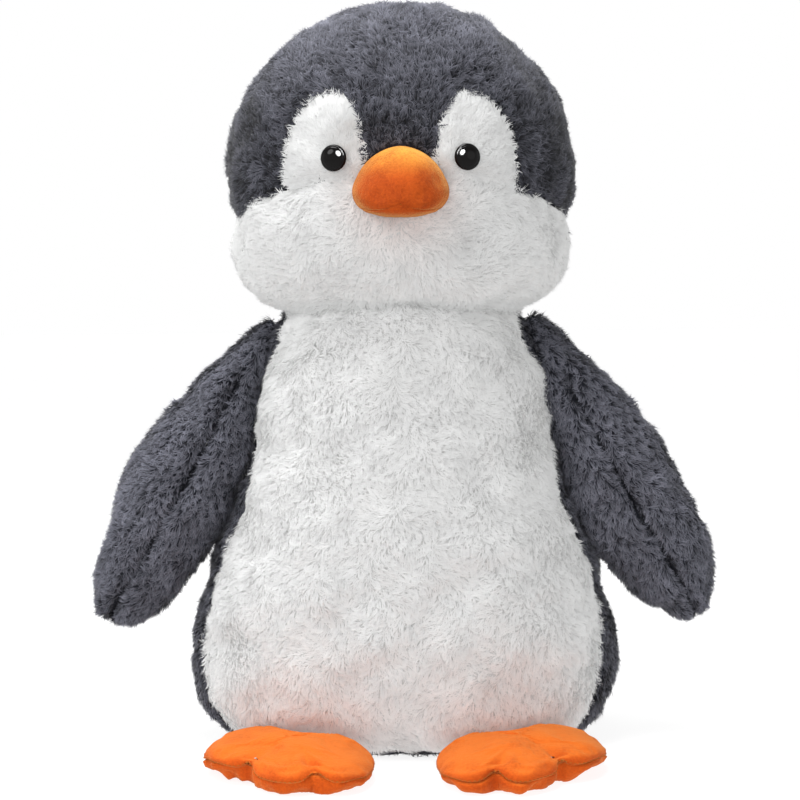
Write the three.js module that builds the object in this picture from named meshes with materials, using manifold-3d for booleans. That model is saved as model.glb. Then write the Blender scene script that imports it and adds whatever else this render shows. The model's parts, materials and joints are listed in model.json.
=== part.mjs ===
// Plush penguin, standing and facing -Y.
// Millimetres, +Z up, origin on the ground under the middle of its bounding box.
// Left and right are the penguin's own, so its left flipper is on +X.
// Every sewn shape is a hollow of plush cloth cut into its panels, round a solid of stuffing.
import * as THREE from 'three';
import { mergeVertices } from 'three/addons/utils/BufferGeometryUtils.js';
import Module from 'manifold-3d';

const wasm = await Module();
wasm.setup();

// ---- Driving dimensions ----------------------------------------------------------------

const AXIS_Y = 57; // the upright line through the middle of the head and body
const SKIN = 6; // plush cloth with its pile pressed down
const FELT = 3; // short-pile cloth of the beak and feet
const GAP = 0.35; // between pieces that touch
const STUFFING_GAP = 3 * GAP; // between the stuffing and the faceted cloth round it
const NECK_Z = 443; // height of the seam between head and body
const BASE_SEAM_Z = 9; // height of the seam round the base
const SIDE_SEAM_Y = AXIS_Y + 12; // the plane of the seams down the head's sides
const FAR = 1000; // further out than any piece
const SQUARENESS = 2.25; // 2 is an ellipse, more is boxier

// How finely each sewn shape is faceted, as steps along it and points round it.
const ROUND_FACETS = { head: [11, 24], body: [12, 24], headInside: [9, 18], bodyInside: [10, 18] };
const FLIPPER_FACETS = { outside: [10, 14], inside: [9, 12] };
const FOOT_FACETS = { outside: 26, inside: 20 };
const BEAK_FACETS = { outline: 8, along: 6 };
const EYE_FACETS = 12;

// Half width, half depth and height of each ring, from the top down.
const HEAD_KEYS = [
  [0, 0, 757], [48, 42, 752], [92, 80, 737], [127, 110, 711], [154, 134, 676], [172, 148, 636],
  [179, 154, 590], [175, 152, 540], [173, 150, 505], [164, 142, 472], [147, 126, 453],
  [128, 110, NECK_Z + GAP],
];
const BODY_KEYS = [
  [126, 108, NECK_Z - GAP], [137, 116, 424], [147, 125, 395], [155, 133, 355], [164, 141, 310],
  [177, 149, 262], [194, 155, 210], [208, 159, 160], [218, 161, 115], [221, 160, 80],
  [216, 156, 48], [202, 147, 22], [184, 132, 7], [166, 116, 0],
];

// Seams drawn from in front as [x, z], on the penguin's left half.
const CHEEK_LINE = [[0, 580], [61, 572], [109, 563], [140, 554], [176, 533]];
const EYE_PATCH = [
  [35, 575], [36, 608], [44, 638], [66, 651], [90, 641], [101, 622], [110, 592], [107, 563],
];
const EYE_PATCH_MIDDLE = [72, 608];
const BELLY_SEAM = [
  [114, 444], [128, 405], [143, 372], [150, 335], [153, 300], [158, 262],
  [170, 222], [186, 186], [199, 150], [214, 110], [230, 60], [240, 0],
];

// A safety eye: a glossy dome on a shank, which a washer holds behind the cloth.
const EYE = { x: 64, z: 590.5, radius: 12.5, seat: 1, rise: 6.5, turn: 0.24, shank: 3, shankLength: 17 };
const EYE_DOME = [[0.92, 0.15], [1, 0.34], [0.93, 0.62], [0.62, 0.9], [0, 1]]; // shares of radius and rise
const WASHER = { radius: 11, thickness: 2.5, depth: 10.5 };

// The beak, drawn from in front as [x, z] round its seam with the face.
const BEAK_OUTLINE = [[0, 606], [28, 597], [45, 576], [50, 558], [41, 544], [22, 536], [0, 533]];
const BEAK_CENTRE_Z = 559;
const BEAK_ROOT = 118; // how far in front of the axis its section starts
const BEAK_REACH = 201; // how far in front of the axis its tip lies
const BEAK_DROOP = 5;
const BEAK_ROUNDING = [2.6, 0.45]; // powers of the curve from root to tip
const BEAK_SEAM_Z = 540;

// The left flipper: where its middle line starts, which way it hangs, and its shape along
// that line as [distance, half width, half depth, offset outwards].
const FLIPPER_ROOT = { x: 150, y: AXIS_Y - 12, z: 395 };
const FLIPPER_HANG = THREE.MathUtils.degToRad(30.8); // from straight down
const FLIPPER_KEYS = [
  [-36, 0, 0, 6], [-22, 9, 14, 5], [0, 18, 26, 4], [32, 30, 37, 6], [62, 39, 43, 7],
  [92, 48, 46, 6], [124, 55, 48, 4], [158, 57, 48, 3], [194, 54, 45, 3], [228, 47, 40, 3],
  [262, 38, 32, 2], [288, 28, 23, 1], [304, 17, 13, 0], [312, 0, 0, 0],
];
const FLIPPER_SEAM_OFFSET = 3; // of the lengthwise seams from the middle line
const THINNEST_RING = 3; // a narrower ring is left to the point that closes the end
const SHOULDER = { x: 146, z: 404 }; // the hinge, along Y
const FLIPPER_LIFT_MAX = 60; // degrees

// The left foot from above, as [x, distance in front of the axis] round its edge seam.
const FOOT_OUTLINE = [
  [50, 150], [34, 172], [30, 208], [39, 250], [60, 273], [81, 268], [108, 275], [134, 255],
  [148, 236], [170, 221], [189, 190], [193, 156], [182, 122], [158, 108], [120, 126], [82, 143],
];
// How the foot's edge pulls in at each height, as [share of the outline, height].
const FOOT_SECTION = [[0.9, 0], [0.97, 4], [1, 12], [0.98, 20], [0.9, 27], [0.72, 33], [0.4, 36]];
const FOOT_CROWN = 0.4; // how far the very middle stands above the last ring
const FOOT_MIDDLE = [110, 190];
const FOOT_SEAM_Z = 12;
const ANKLE = { x: 112, y: AXIS_Y - 132, z: 22, splay: THREE.MathUtils.degToRad(20) }; // the heel's hinge
const TOES_UP_MAX = 14; // degrees
const TOES_DOWN_MAX = 28; // degrees

// ---- Solids ----------------------------------------------------------------------------

/** A closed three.js geometry as a solid that can be joined and cut, turned the right way out. */
function solidOf(geometry) {
  const bare = geometry.clone();
  bare.deleteAttribute('normal');
  bare.deleteAttribute('uv');
  const merged = mergeVertices(bare, 1e-4);
  const vertProperties = new Float32Array(merged.attributes.position.array);
  const triVerts = new Uint32Array(merged.index.array);
  const solid = new wasm.Manifold(new wasm.Mesh({ numProp: 3, vertProperties, triVerts }));
  if (solid.volume() > 0) return solid;
  for (let corner = 0; corner < triVerts.length; corner += 3) {
    [triVerts[corner + 1], triVerts[corner + 2]] = [triVerts[corner + 2], triVerts[corner + 1]];
  }
  return new wasm.Manifold(new wasm.Mesh({ numProp: 3, vertProperties, triVerts }));
}

/** The finished solid as a three.js geometry again. */
function geometryOf(solid) {
  const mesh = solid.getMesh();
  const geometry = new THREE.BufferGeometry();
  geometry.setAttribute('position', new THREE.BufferAttribute(new Float32Array(mesh.vertProperties), 3));
  geometry.setIndex(new THREE.BufferAttribute(new Uint32Array(mesh.triVerts), 1));
  geometry.computeVertexNormals();
  return geometry;
}

/** A solid skinned over rings of points, all with the same count, closed by a point at each end. */
function loft(firstPoint, rings, lastPoint) {
  const count = rings[0].length;
  const points = [firstPoint, ...rings.flat(), lastPoint];
  const last = points.length - 1;
  const faces = [];
  for (let i = 0; i < count; i += 1) {
    const j = (i + 1) % count;
    faces.push(0, 1 + i, 1 + j);
    for (let ring = 0; ring + 1 < rings.length; ring += 1) {
      const upper = 1 + ring * count;
      const lower = upper + count;
      faces.push(upper + i, lower + i, lower + j, upper + i, lower + j, upper + j);
    }
    const rim = last - count;
    faces.push(rim + i, last, rim + j);
  }
  const geometry = new THREE.BufferGeometry().setFromPoints(points);
  geometry.setIndex(faces);
  return solidOf(geometry);
}

/** Points of a smooth curve through the keys, evenly spaced along it, with the curve's directions. */
function smooth(keys, steps, closed = false) {
  const vectors = keys.map(([a, b, c = 0]) => new THREE.Vector3(a, b, c));
  const curve = new THREE.CatmullRomCurve3(vectors, closed, 'centripetal');
  const count = closed ? steps : steps + 1;
  return Array.from({ length: count }, (_, i) => ({
    point: curve.getPointAt(i / steps),
    direction: curve.getTangentAt(i / steps),
  }));
}

/** One ring of a boxed ellipse: |x / width|^n + |y / depth|^n = 1. */
function boxedEllipse(halfWidth, halfDepth, z, sides) {
  return Array.from({ length: sides }, (_, i) => {
    const turn = (2 * Math.PI * i) / sides;
    const [c, s] = [Math.cos(turn), Math.sin(turn)];
    const reach = (Math.abs(c) ** SQUARENESS + Math.abs(s) ** SQUARENESS) ** (-1 / SQUARENESS);
    return new THREE.Vector3(halfWidth * c * reach, AXIS_Y + halfDepth * s * reach, z);
  });
}

/** The head or body, shrunk by `inset` all over: its side profile carried round as boxed ellipses. */
function roundBody(keys, inset, [steps, sides]) {
  const stations = smooth(keys, steps);
  const rings = [];
  stations.forEach(({ point, direction }, i) => {
    const run = Math.hypot(direction.x, direction.z) || 1;
    const atRim = i === stations.length - 1 || (i === 0 && point.x > 0);
    const outwards = atRim ? 1 : -direction.z / run;
    const upwards = atRim ? (i === 0 ? 1 : -1) : direction.x / run;
    if (point.x > 0) {
      const across = point.x - inset * outwards;
      const deep = point.y - inset * outwards;
      rings.push(boxedEllipse(across, deep, point.z - inset * upwards, sides));
    }
  });
  const top = new THREE.Vector3(0, AXIS_Y, stations[0].point.z - inset);
  const bottom = new THREE.Vector3(0, AXIS_Y, stations[stations.length - 1].point.z + inset);
  return loft(top, rings, bottom);
}

/** A prism along Y behind a front-view outline of [x, z] points, from `near` to `far`. */
function prismBehind(outline, near, far) {
  const shape = new THREE.Shape(outline.map(([x, z]) => new THREE.Vector2(x, z)));
  const geometry = new THREE.ExtrudeGeometry(shape, { depth: far - near, bevelEnabled: false });
  geometry.rotateX(Math.PI / 2);
  geometry.translate(0, far, 0);
  return solidOf(geometry);
}

/** A box from its lowest to its highest corner. */
function boxBetween([x0, y0, z0], [x1, y1, z1]) {
  const geometry = new THREE.BoxGeometry(x1 - x0, y1 - y0, z1 - z0);
  geometry.translate((x0 + x1) / 2, (y0 + y1) / 2, (z0 + z1) / 2);
  return solidOf(geometry);
}

/** The solid turned by `degrees` about an axis through a point. */
function turnedAbout(solid, point, axis, degrees) {
  const turn = new THREE.Matrix4().makeRotationAxis(axis, THREE.MathUtils.degToRad(degrees));
  const there = new THREE.Matrix4().makeTranslation(point.x, point.y, point.z);
  const back = new THREE.Matrix4().makeTranslation(-point.x, -point.y, -point.z);
  return solid.transform(there.multiply(turn).multiply(back).elements);
}

/** Everything between two heights. */
function layer(low, high) {
  return boxBetween([-FAR, -FAR, low], [FAR, FAR, high]);
}

/** The solid mirrored to the penguin's other side. */
function mirrored(solid) {
  return solid.mirror([1, 0, 0]);
}

/** The outline's points on the other side, in the order that carries on from its end. */
function otherSide(outline) {
  return outline.map(([x, z]) => [-x, z]).reverse();
}

/** An outline drawn smoothly through its keys. */
function drawn(keys, steps, closed) {
  return smooth(keys, steps, closed).map(({ point }) => [point.x, point.y]);
}

/** A point of an outline moved away from its middle by `grow`. */
function grown([x, z], [midX, midZ], grow) {
  const reach = Math.hypot(x - midX, z - midZ);
  const share = (reach + grow) / reach;
  return [midX + (x - midX) * share, midZ + (z - midZ) * share];
}

/** The largest of a solid's separate bodies, without the crumbs that a cut leaves. */
function mainBody(solid) {
  const bodies = solid.decompose();
  return bodies.reduce((best, body) => (body.volume() > best.volume() ? body : best));
}

// ---- Materials -------------------------------------------------------------------------

function cloth(colour, roughness = 0.95) {
  return new THREE.MeshStandardMaterial({ color: colour, roughness, metalness: 0 });
}

const finishes = {
  slatePlush: () => cloth(0x4b4c54),
  whitePlush: () => cloth(0xeceae6),
  orangeCloth: () => cloth(0xf47420, 0.85),
  stuffing: () => cloth(0xf6f5f0, 1),
  eyeGloss: () => cloth(0x0b0a0a, 0.12),
  washerPlastic: () => cloth(0xdad7cc, 0.5),
};

const penguin = new THREE.Group();

/** Adds one finished piece to the penguin. */
function addPiece(name, solid, finish) {
  const mesh = new THREE.Mesh(geometryOf(mainBody(solid)), finish());
  mesh.name = name;
  penguin.add(mesh);
}

/** Adds a piece to the left side and its mirror image to the right. */
function addPair(name, suffix, leftSolid, finish) {
  addPiece(`${name}_left${suffix}`, leftSolid, finish);
  addPiece(`${name}_right${suffix}`, mirrored(leftSolid), finish);
}

// ---- Head ------------------------------------------------------------------------------

const headOuter = roundBody(HEAD_KEYS, 0, ROUND_FACETS.head);
const headShell = headOuter.subtract(roundBody(HEAD_KEYS, SKIN, ROUND_FACETS.headInside));
const headClear = roundBody(HEAD_KEYS, -GAP, ROUND_FACETS.head);

/** Everything in front of the side seams and under the cheek line lowered by `drop`. */
function cheekRegion(drop) {
  const left = drawn(CHEEK_LINE, 6, false).map(([x, z]) => [x, z - drop]);
  const [, endZ] = left[left.length - 1];
  const line = [[-FAR, endZ], ...otherSide(left.slice(1)), ...left, [FAR, endZ], [FAR, 0], [-FAR, 0]];
  return prismBehind(line.reverse(), -FAR, SIDE_SEAM_Y - GAP);
}

/** The left eye patch's outline, grown all round by `grow`, as a prism through the face. */
function eyePatchRegion(grow) {
  const outline = drawn(EYE_PATCH, 16, true).map((point) => grown(point, EYE_PATCH_MIDDLE, grow));
  return prismBehind(outline, -FAR, AXIS_Y);
}

/** How far in front of the axis the head's skin lies at a front-view point. */
function headFrontAt(x, z) {
  const probe = boxBetween([x - GAP, -FAR, z - GAP], [x + GAP, AXIS_Y, z + GAP]);
  return AXIS_Y - headOuter.intersect(probe).boundingBox().min[1];
}

const eyeFront = headFrontAt(EYE.x, EYE.z);

/** A solid turned from a closed profile of [radius, height over the cloth] about the eye's axis. */
function turnedAtEye(profile) {
  const points = profile.map(([radius, height]) => new THREE.Vector2(radius, height));
  const solid = solidOf(new THREE.LatheGeometry(points, EYE_FACETS));
  const place = new THREE.Matrix4().makeTranslation(EYE.x, AXIS_Y - eyeFront, EYE.z);
  const turn = new THREE.Matrix4().makeRotationZ(EYE.turn);
  const faceForwards = new THREE.Matrix4().makeRotationX(Math.PI);
  return solid.transform(place.multiply(turn).multiply(faceForwards).elements);
}

/** A round bar about the eye's axis. */
function barAtEye(radius, low, high) {
  return turnedAtEye([[0, low], [radius, low], [radius, high], [0, high]]);
}

const eyeSolid = turnedAtEye([
  [0, -EYE.shankLength],
  [EYE.shank, -EYE.shankLength],
  [EYE.shank, EYE.seat],
  ...EYE_DOME.map(([across, up]) => [EYE.radius * across, EYE.seat + (EYE.rise - EYE.seat) * up]),
]);
const washerSolid = turnedAtEye([
  [EYE.shank + GAP, -WASHER.depth - WASHER.thickness],
  [WASHER.radius, -WASHER.depth - WASHER.thickness],
  [WASHER.radius, -WASHER.depth],
  [EYE.shank + GAP, -WASHER.depth],
  [EYE.shank + GAP, -WASHER.depth - WASHER.thickness],
]);
const deepEnd = -EYE.shankLength - GAP;
const shankHole = barAtEye(EYE.shank + GAP, deepEnd, 2 * EYE.rise);
const eyeSeat = barAtEye(EYE.radius + GAP, EYE.seat - GAP, 2 * EYE.rise);
const washerPocket = barAtEye(WASHER.radius + GAP, deepEnd, 2 * EYE.rise);

const headFront = headShell.intersect(boxBetween([-FAR, -FAR, 0], [FAR, SIDE_SEAM_Y - GAP, FAR]));
const crownFront = headFront
  .subtract(cheekRegion(-GAP / 2))
  .subtract(eyePatchRegion(GAP))
  .subtract(mirrored(eyePatchRegion(GAP)));
const crownBackLeft = headShell.intersect(boxBetween([GAP / 2, SIDE_SEAM_Y, 0], [FAR, FAR, FAR]));
const eyePatch = headFront
  .intersect(eyePatchRegion(0).subtract(cheekRegion(-GAP / 2)))
  .subtract(shankHole)
  .subtract(eyeSeat);
const headStuffing = roundBody(HEAD_KEYS, SKIN + STUFFING_GAP, ROUND_FACETS.headInside)
  .subtract(washerPocket)
  .subtract(mirrored(washerPocket));

addPiece('crown_front', crownFront, finishes.slatePlush);
addPair('crown_back', '', crownBackLeft, finishes.slatePlush);
addPiece('cheek_panel', headFront.intersect(cheekRegion(GAP / 2)), finishes.whitePlush);
addPair('eye_patch', '', eyePatch, finishes.whitePlush);
addPair('eye', '', eyeSolid, finishes.eyeGloss);
addPair('eye_washer', '', washerSolid, finishes.washerPlastic);
addPiece('head_stuffing', headStuffing, finishes.stuffing);

// ---- Beak ------------------------------------------------------------------------------

/** The beak shrunk by `inset`: its outline narrows to a blunt, drooping tip as a quarter round. */
function beakSolid(inset) {
  const half = drawn(BEAK_OUTLINE, BEAK_FACETS.outline, false);
  const outline = [...half, ...otherSide(half.slice(1, -1))];
  const [bluntness, fullness] = BEAK_ROUNDING;
  const length = BEAK_REACH - BEAK_ROOT;
  const rings = Array.from({ length: BEAK_FACETS.along }, (_, k) => {
    const along = Math.sin((Math.PI / 2) * (k / BEAK_FACETS.along));
    const share = (1 - along ** bluntness) ** fullness;
    const y = AXIS_Y - BEAK_ROOT - (length - inset) * along;
    return outline.map(([x, z]) => {
      const rise = z - BEAK_CENTRE_Z;
      const reach = Math.hypot(x, rise);
      const kept = ((reach - inset) / reach) * share;
      return new THREE.Vector3(x * kept, y, BEAK_CENTRE_Z + rise * kept - BEAK_DROOP * along ** 2);
    });
  });
  const root = new THREE.Vector3(0, AXIS_Y - BEAK_ROOT, BEAK_CENTRE_Z);
  const tip = new THREE.Vector3(0, AXIS_Y - BEAK_REACH + inset, BEAK_CENTRE_Z - BEAK_DROOP);
  return loft(root, rings, tip);
}

const beakShell = beakSolid(0).subtract(beakSolid(FELT)).subtract(headClear);
const beakUpper = beakShell.intersect(layer(BEAK_SEAM_Z + GAP / 2, FAR));
const beakLower = beakShell.intersect(layer(0, BEAK_SEAM_Z - GAP / 2));
addPiece('beak_upper', beakUpper, finishes.orangeCloth);
addPiece('beak_lower', beakLower, finishes.orangeCloth);
addPiece('beak_stuffing', beakSolid(FELT + GAP).subtract(headClear), finishes.stuffing);

// ---- Body ------------------------------------------------------------------------------

const bodyOuter = roundBody(BODY_KEYS, 0, ROUND_FACETS.body);
const bodyClear = roundBody(BODY_KEYS, -2 * GAP, ROUND_FACETS.body);
const bodyShell = bodyOuter.subtract(roundBody(BODY_KEYS, SKIN, ROUND_FACETS.bodyInside));
const bodyStuffing = roundBody(BODY_KEYS, SKIN + STUFFING_GAP, ROUND_FACETS.bodyInside);

/** Everything between the belly's side seams drawn in by `inset`, back to the plane `behind`. */
function bellyRegion(inset, behind) {
  const left = drawn(BELLY_SEAM, 11, false).map(([x, z]) => [x - inset, z]);
  return prismBehind([...left, ...otherSide(left)].reverse(), -FAR, behind);
}

const bodyWall = bodyShell.intersect(layer(BASE_SEAM_Z, FAR));
const belly = bodyWall.intersect(bellyRegion(GAP / 2, AXIS_Y - GAP));
const backLeft = bodyWall
  .subtract(bellyRegion(-GAP / 2, AXIS_Y))
  .intersect(boxBetween([GAP / 2, -FAR, 0], [FAR, FAR, FAR]));

addPiece('belly_panel', belly, finishes.whitePlush);
addPair('back_panel', '', backLeft, finishes.slatePlush);
addPiece('base_panel', bodyShell.intersect(layer(-1, BASE_SEAM_Z - GAP)), finishes.slatePlush);
addPiece('body_stuffing', bodyStuffing, finishes.stuffing);

// ---- Flippers --------------------------------------------------------------------------

const flipperAlong = new THREE.Vector3(Math.sin(FLIPPER_HANG), 0, -Math.cos(FLIPPER_HANG));
const flipperOutwards = new THREE.Vector3(Math.cos(FLIPPER_HANG), 0, Math.sin(FLIPPER_HANG));
const flipperRoot = new THREE.Vector3(FLIPPER_ROOT.x, FLIPPER_ROOT.y, FLIPPER_ROOT.z);
const shoulder = new THREE.Vector3(SHOULDER.x, FLIPPER_ROOT.y, SHOULDER.z);
const hingeY = new THREE.Vector3(0, 1, 0);

/** A point beside the flipper's middle line. */
function besideFlipper(along, outwards, depth) {
  return flipperRoot.clone()
    .addScaledVector(flipperAlong, along)
    .addScaledVector(flipperOutwards, outwards)
    .add(new THREE.Vector3(0, depth, 0));
}

/** How far outwards the flipper's section is shifted at a distance along its middle line. */
function offsetAt(along) {
  const next = Math.max(1, FLIPPER_KEYS.findIndex(([distance]) => distance >= along));
  const [[from, , , before], [to, , , after]] = [FLIPPER_KEYS[next - 1], FLIPPER_KEYS[next]];
  return THREE.MathUtils.lerp(before, after, (along - from) / (to - from));
}

/** The flipper shrunk by `inset`: ellipses along its middle line, closed at both ends. */
function flipperSolid(inset, [steps, sides]) {
  const stations = smooth(FLIPPER_KEYS.map(([along, wide, deep]) => [along, wide, deep]), steps);
  const full = stations.filter(({ point }) => point.y > inset + THINNEST_RING);
  const rings = full.map(({ point }) => {
    const [wide, deep] = [point.y - inset, point.z - inset];
    return Array.from({ length: sides }, (_, i) => {
      const turn = (2 * Math.PI * i) / sides;
      const outwards = offsetAt(point.x) + wide * Math.cos(turn);
      return besideFlipper(point.x, outwards, deep * Math.sin(turn));
    });
  });
  const first = stations[0].point.x;
  const last = stations[stations.length - 1].point.x;
  return loft(
    besideFlipper(first + inset, offsetAt(first), 0),
    rings,
    besideFlipper(last - inset, offsetAt(last), 0),
  );
}

/** What a lifting flipper has to stay clear of, gathered over its travel. */
function flipperObstacle() {
  const rest = bodyClear.add(headClear);
  const steps = [0, 1 / 4, 1 / 2, 3 / 4, 1];
  const poses = steps.map((share) => turnedAbout(rest, shoulder, hingeY, share * FLIPPER_LIFT_MAX));
  return poses.reduce((sum, pose) => sum.add(pose));
}

/** Everything outwards (or inwards) of the flipper's lengthwise seams. */
function flipperSide(outwards) {
  const low = outwards ? GAP / 2 : -FAR;
  const high = outwards ? FAR : -GAP / 2;
  const slab = boxBetween([low, -FAR, -FAR], [high, FAR, FAR]);
  const seamMiddle = besideFlipper(0, FLIPPER_SEAM_OFFSET, 0);
  const place = new THREE.Matrix4().makeTranslation(seamMiddle.x, 0, seamMiddle.z);
  const lean = new THREE.Matrix4().makeRotationY(-FLIPPER_HANG);
  return slab.transform(place.multiply(lean).elements);
}

const besideBody = flipperObstacle();
const flipperShell = flipperSolid(0, FLIPPER_FACETS.outside)
  .subtract(flipperSolid(SKIN, FLIPPER_FACETS.inside))
  .subtract(besideBody);
const flipperStuffing = flipperSolid(SKIN + STUFFING_GAP, FLIPPER_FACETS.inside).subtract(besideBody);

addPair('flipper', '_outer_panel', flipperShell.intersect(flipperSide(true)), finishes.slatePlush);
addPair('flipper', '_inner_panel', flipperShell.intersect(flipperSide(false)), finishes.slatePlush);
addPair('flipper', '_stuffing', flipperStuffing, finishes.stuffing);

// ---- Feet ------------------------------------------------------------------------------

const ankle = new THREE.Vector3(ANKLE.x, ANKLE.y, ANKLE.z);
const ankleAxis = new THREE.Vector3(-Math.cos(ANKLE.splay), -Math.sin(ANKLE.splay), 0);

/** The foot shrunk by `inset`: its outline pulled in at each height, with a flat sole. */
function footSolid(inset, steps) {
  const [midX, midFront] = FOOT_MIDDLE;
  const [, top] = FOOT_SECTION[FOOT_SECTION.length - 1];
  const outline = drawn(FOOT_OUTLINE, steps, true).map((point) => grown(point, FOOT_MIDDLE, -inset));
  const rings = FOOT_SECTION.map(([share, height]) => outline.map(([x, front]) => {
    const z = inset + (height * (top - 2 * inset)) / top;
    const forwards = midFront + (front - midFront) * share;
    return new THREE.Vector3(midX + (x - midX) * share, AXIS_Y - forwards, z);
  }));
  const sole = new THREE.Vector3(midX, AXIS_Y - midFront, inset);
  const crown = new THREE.Vector3(midX, AXIS_Y - midFront, top - inset + FOOT_CROWN);
  return loft(sole, rings, crown);
}

/** What a flexing foot has to stay clear of, gathered over its travel. */
function footObstacle() {
  const turns = [0, TOES_UP_MAX / 2, TOES_UP_MAX, -TOES_DOWN_MAX / 2, -TOES_DOWN_MAX];
  const poses = turns.map((degrees) => turnedAbout(bodyClear, ankle, ankleAxis, -degrees));
  return poses.reduce((sum, pose) => sum.add(pose));
}

const heelRoom = footObstacle();
const footShell = footSolid(0, FOOT_FACETS.outside)
  .subtract(footSolid(FELT, FOOT_FACETS.inside))
  .subtract(heelRoom);
const footTop = footShell.intersect(layer(FOOT_SEAM_Z + GAP / 2, FAR));
const footSole = footShell.intersect(layer(-1, FOOT_SEAM_Z - GAP / 2));
const footStuffing = footSolid(FELT + STUFFING_GAP, FOOT_FACETS.inside).subtract(heelRoom);

addPair('foot', '_top_panel', footTop, finishes.orangeCloth);
addPair('foot', '_sole_panel', footSole, finishes.orangeCloth);
addPair('foot', '_stuffing', footStuffing, finishes.stuffing);

export default penguin;
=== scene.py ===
"""Plush penguin, about 76 cm tall: sewn skins swollen by their filling, combed pile, safety eyes,
a velour beak and feet, and the studio that it stands in. Metres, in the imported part's own frame:
+Z up, the penguin faces -Y, and its own left is +X.

Each sewn hollow is a closed grid of points, rows running down and columns running round, so that
down x round points outwards. Its seams lie on whole rows and columns, so a cloth panel is a block
of the grid, and the pile is rooted on the same block.
"""

import json
import math
from dataclasses import dataclass
from functools import lru_cache

import bmesh
import bpy
import numpy as np
from bpy.props import FloatProperty, FloatVectorProperty, PointerProperty
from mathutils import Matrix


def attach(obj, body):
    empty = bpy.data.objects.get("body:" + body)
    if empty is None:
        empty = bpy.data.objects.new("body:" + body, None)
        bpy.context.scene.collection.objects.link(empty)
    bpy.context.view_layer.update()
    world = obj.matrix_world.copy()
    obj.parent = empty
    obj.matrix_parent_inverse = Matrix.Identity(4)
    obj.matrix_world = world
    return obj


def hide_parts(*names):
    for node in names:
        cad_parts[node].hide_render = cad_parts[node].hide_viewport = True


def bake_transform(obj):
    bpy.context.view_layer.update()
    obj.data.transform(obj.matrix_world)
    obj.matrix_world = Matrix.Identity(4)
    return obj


bl_info = {
    "name": "Plush Penguin",
    "version": (1, 0, 0),
    "blender": (4, 5, 0),
    "location": "3D View > Sidebar > Penguin",
    "description": "Builds a stuffed penguin: sewn skins, combed pile, eyes, beak and feet",
    "category": "Add Mesh",
}

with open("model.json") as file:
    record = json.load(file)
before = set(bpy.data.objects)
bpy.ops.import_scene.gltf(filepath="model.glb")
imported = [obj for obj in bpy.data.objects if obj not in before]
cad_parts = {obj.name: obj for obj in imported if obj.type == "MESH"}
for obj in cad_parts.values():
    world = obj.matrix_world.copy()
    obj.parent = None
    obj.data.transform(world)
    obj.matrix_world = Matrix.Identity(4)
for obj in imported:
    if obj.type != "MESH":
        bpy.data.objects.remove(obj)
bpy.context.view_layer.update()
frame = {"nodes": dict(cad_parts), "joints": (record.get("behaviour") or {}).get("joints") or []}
JOINTS = {joint["name"]: joint for joint in frame["joints"]}
MM = 0.001
AXIS_Y = JOINTS["head_turn"]["pos_m"][1]
NECK_Z = JOINTS["head_turn"]["pos_m"][2]
SIDES = {"left": 1, "right": -1}

# ---- Shapes, in millimetres ---------------------------------------------------------------

# Half width, half depth and height of each ring, from the top down.
HEAD_RINGS = (
    (0, 0, 757), (46, 41, 752), (87, 77, 737), (122, 107, 711), (151, 132, 676), (171, 148, 636),
    (179, 154, 590), (174, 152, 540), (175, 151, 505), (166, 143, 472), (148, 126, 455), (121, 104, 443),
)
BODY_RINGS = (
    (119, 102, 443), (135, 114, 426), (147, 125, 395), (155, 133, 355), (164, 141, 310),
    (177, 149, 262), (194, 155, 210), (209, 159, 160), (219, 161, 115), (222, 160, 80),
    (217, 157, 48), (203, 148, 22), (185, 134, 7), (166, 118, 0), (110, 77, 0), (50, 35, 0), (0, 0, 0),
)
SQUARENESS = 2.25  # of the rings: 2 is an ellipse, more is boxier
SIDE_SEAM_TURN = math.radians(7)  # how far behind the widest line the head's side seams run
BASE_SEAM_Z = 9
BODY_UNDERSIDE = 3  # the last rings of the body, which lie flat on the floor
CHIN_ARCH = (9.5, 62)  # how far the neck seam rises between the jowls, and over what half width

# Seams drawn from in front, as (x, z) on the penguin's left half.
CHEEK_SEAM = ((0, 580), (61, 572), (109, 563), (140, 554), (176, 533))
BELLY_SEAM = (
    (114, 444), (128, 405), (143, 372), (150, 335), (153, 300), (160, 262),
    (173, 222), (187, 188), (197, 150), (202, 98), (192, 47), (178, 25), (150, 0),
)
EYE_PATCH = (
    (36, 574), (37, 606), (44, 636), (60, 651), (76, 651), (91, 641), (102, 622), (110, 592), (108, 564),
    (72, 570),
)
EYE_PATCH_MIDDLE = (72, 608)
BEAK_OUTLINE = ((0, 601), (26, 592), (42, 573), (47, 556), (40, 542), (23, 535), (0, 533))
BEAK_MIDDLE_Z = 559
BEAK_REACH = 202  # of its tip in front of the axis
BEAK_DROOP = 16
BEAK_SEAM_Z = 541

# The left flipper, along its middle line: distance, half width, half depth, shift outwards.
FLIPPER_RINGS = (
    (-42, 0, 0, 7), (-28, 13, 17, 5), (0, 25, 31, 3), (32, 35, 40, 2), (62, 44, 45, 1),
    (92, 53, 48, -1), (124, 60, 49, -3), (158, 63, 49, -4), (194, 61, 46, -4), (228, 55, 41, -4),
    (262, 45, 34, -4), (290, 34, 26, -4), (308, 21, 16, -5), (318, 0, 0, -6),
)
FLIPPER_TRIM = (0.985, 0.91, 0.89)  # of its length, width and depth, to leave room for the pile
FLIPPER_SEAM = 4.5  # depth and width of the groove along its front seam
FLIPPER_ROOT = (150, 395)
FLIPPER_FORWARD = 16  # of the axis, at the shoulder
FLIPPER_HANG = math.radians(30.8)

# The left foot from above, as (x, distance in front of the axis), and its two toe gaps.
FOOT_OUTLINE = (
    (50, 150), (34, 172), (30, 208), (39, 250), (60, 273), (81, 268), (108, 275), (134, 255),
    (148, 236), (170, 221), (189, 190), (193, 156), (182, 122), (158, 108), (120, 126), (82, 143),
)
TOE_GAPS = ((81, 268), (148, 236))
GAP_WIDTH = 9.5
FOOT_MIDDLE = (110, 190)
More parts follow.
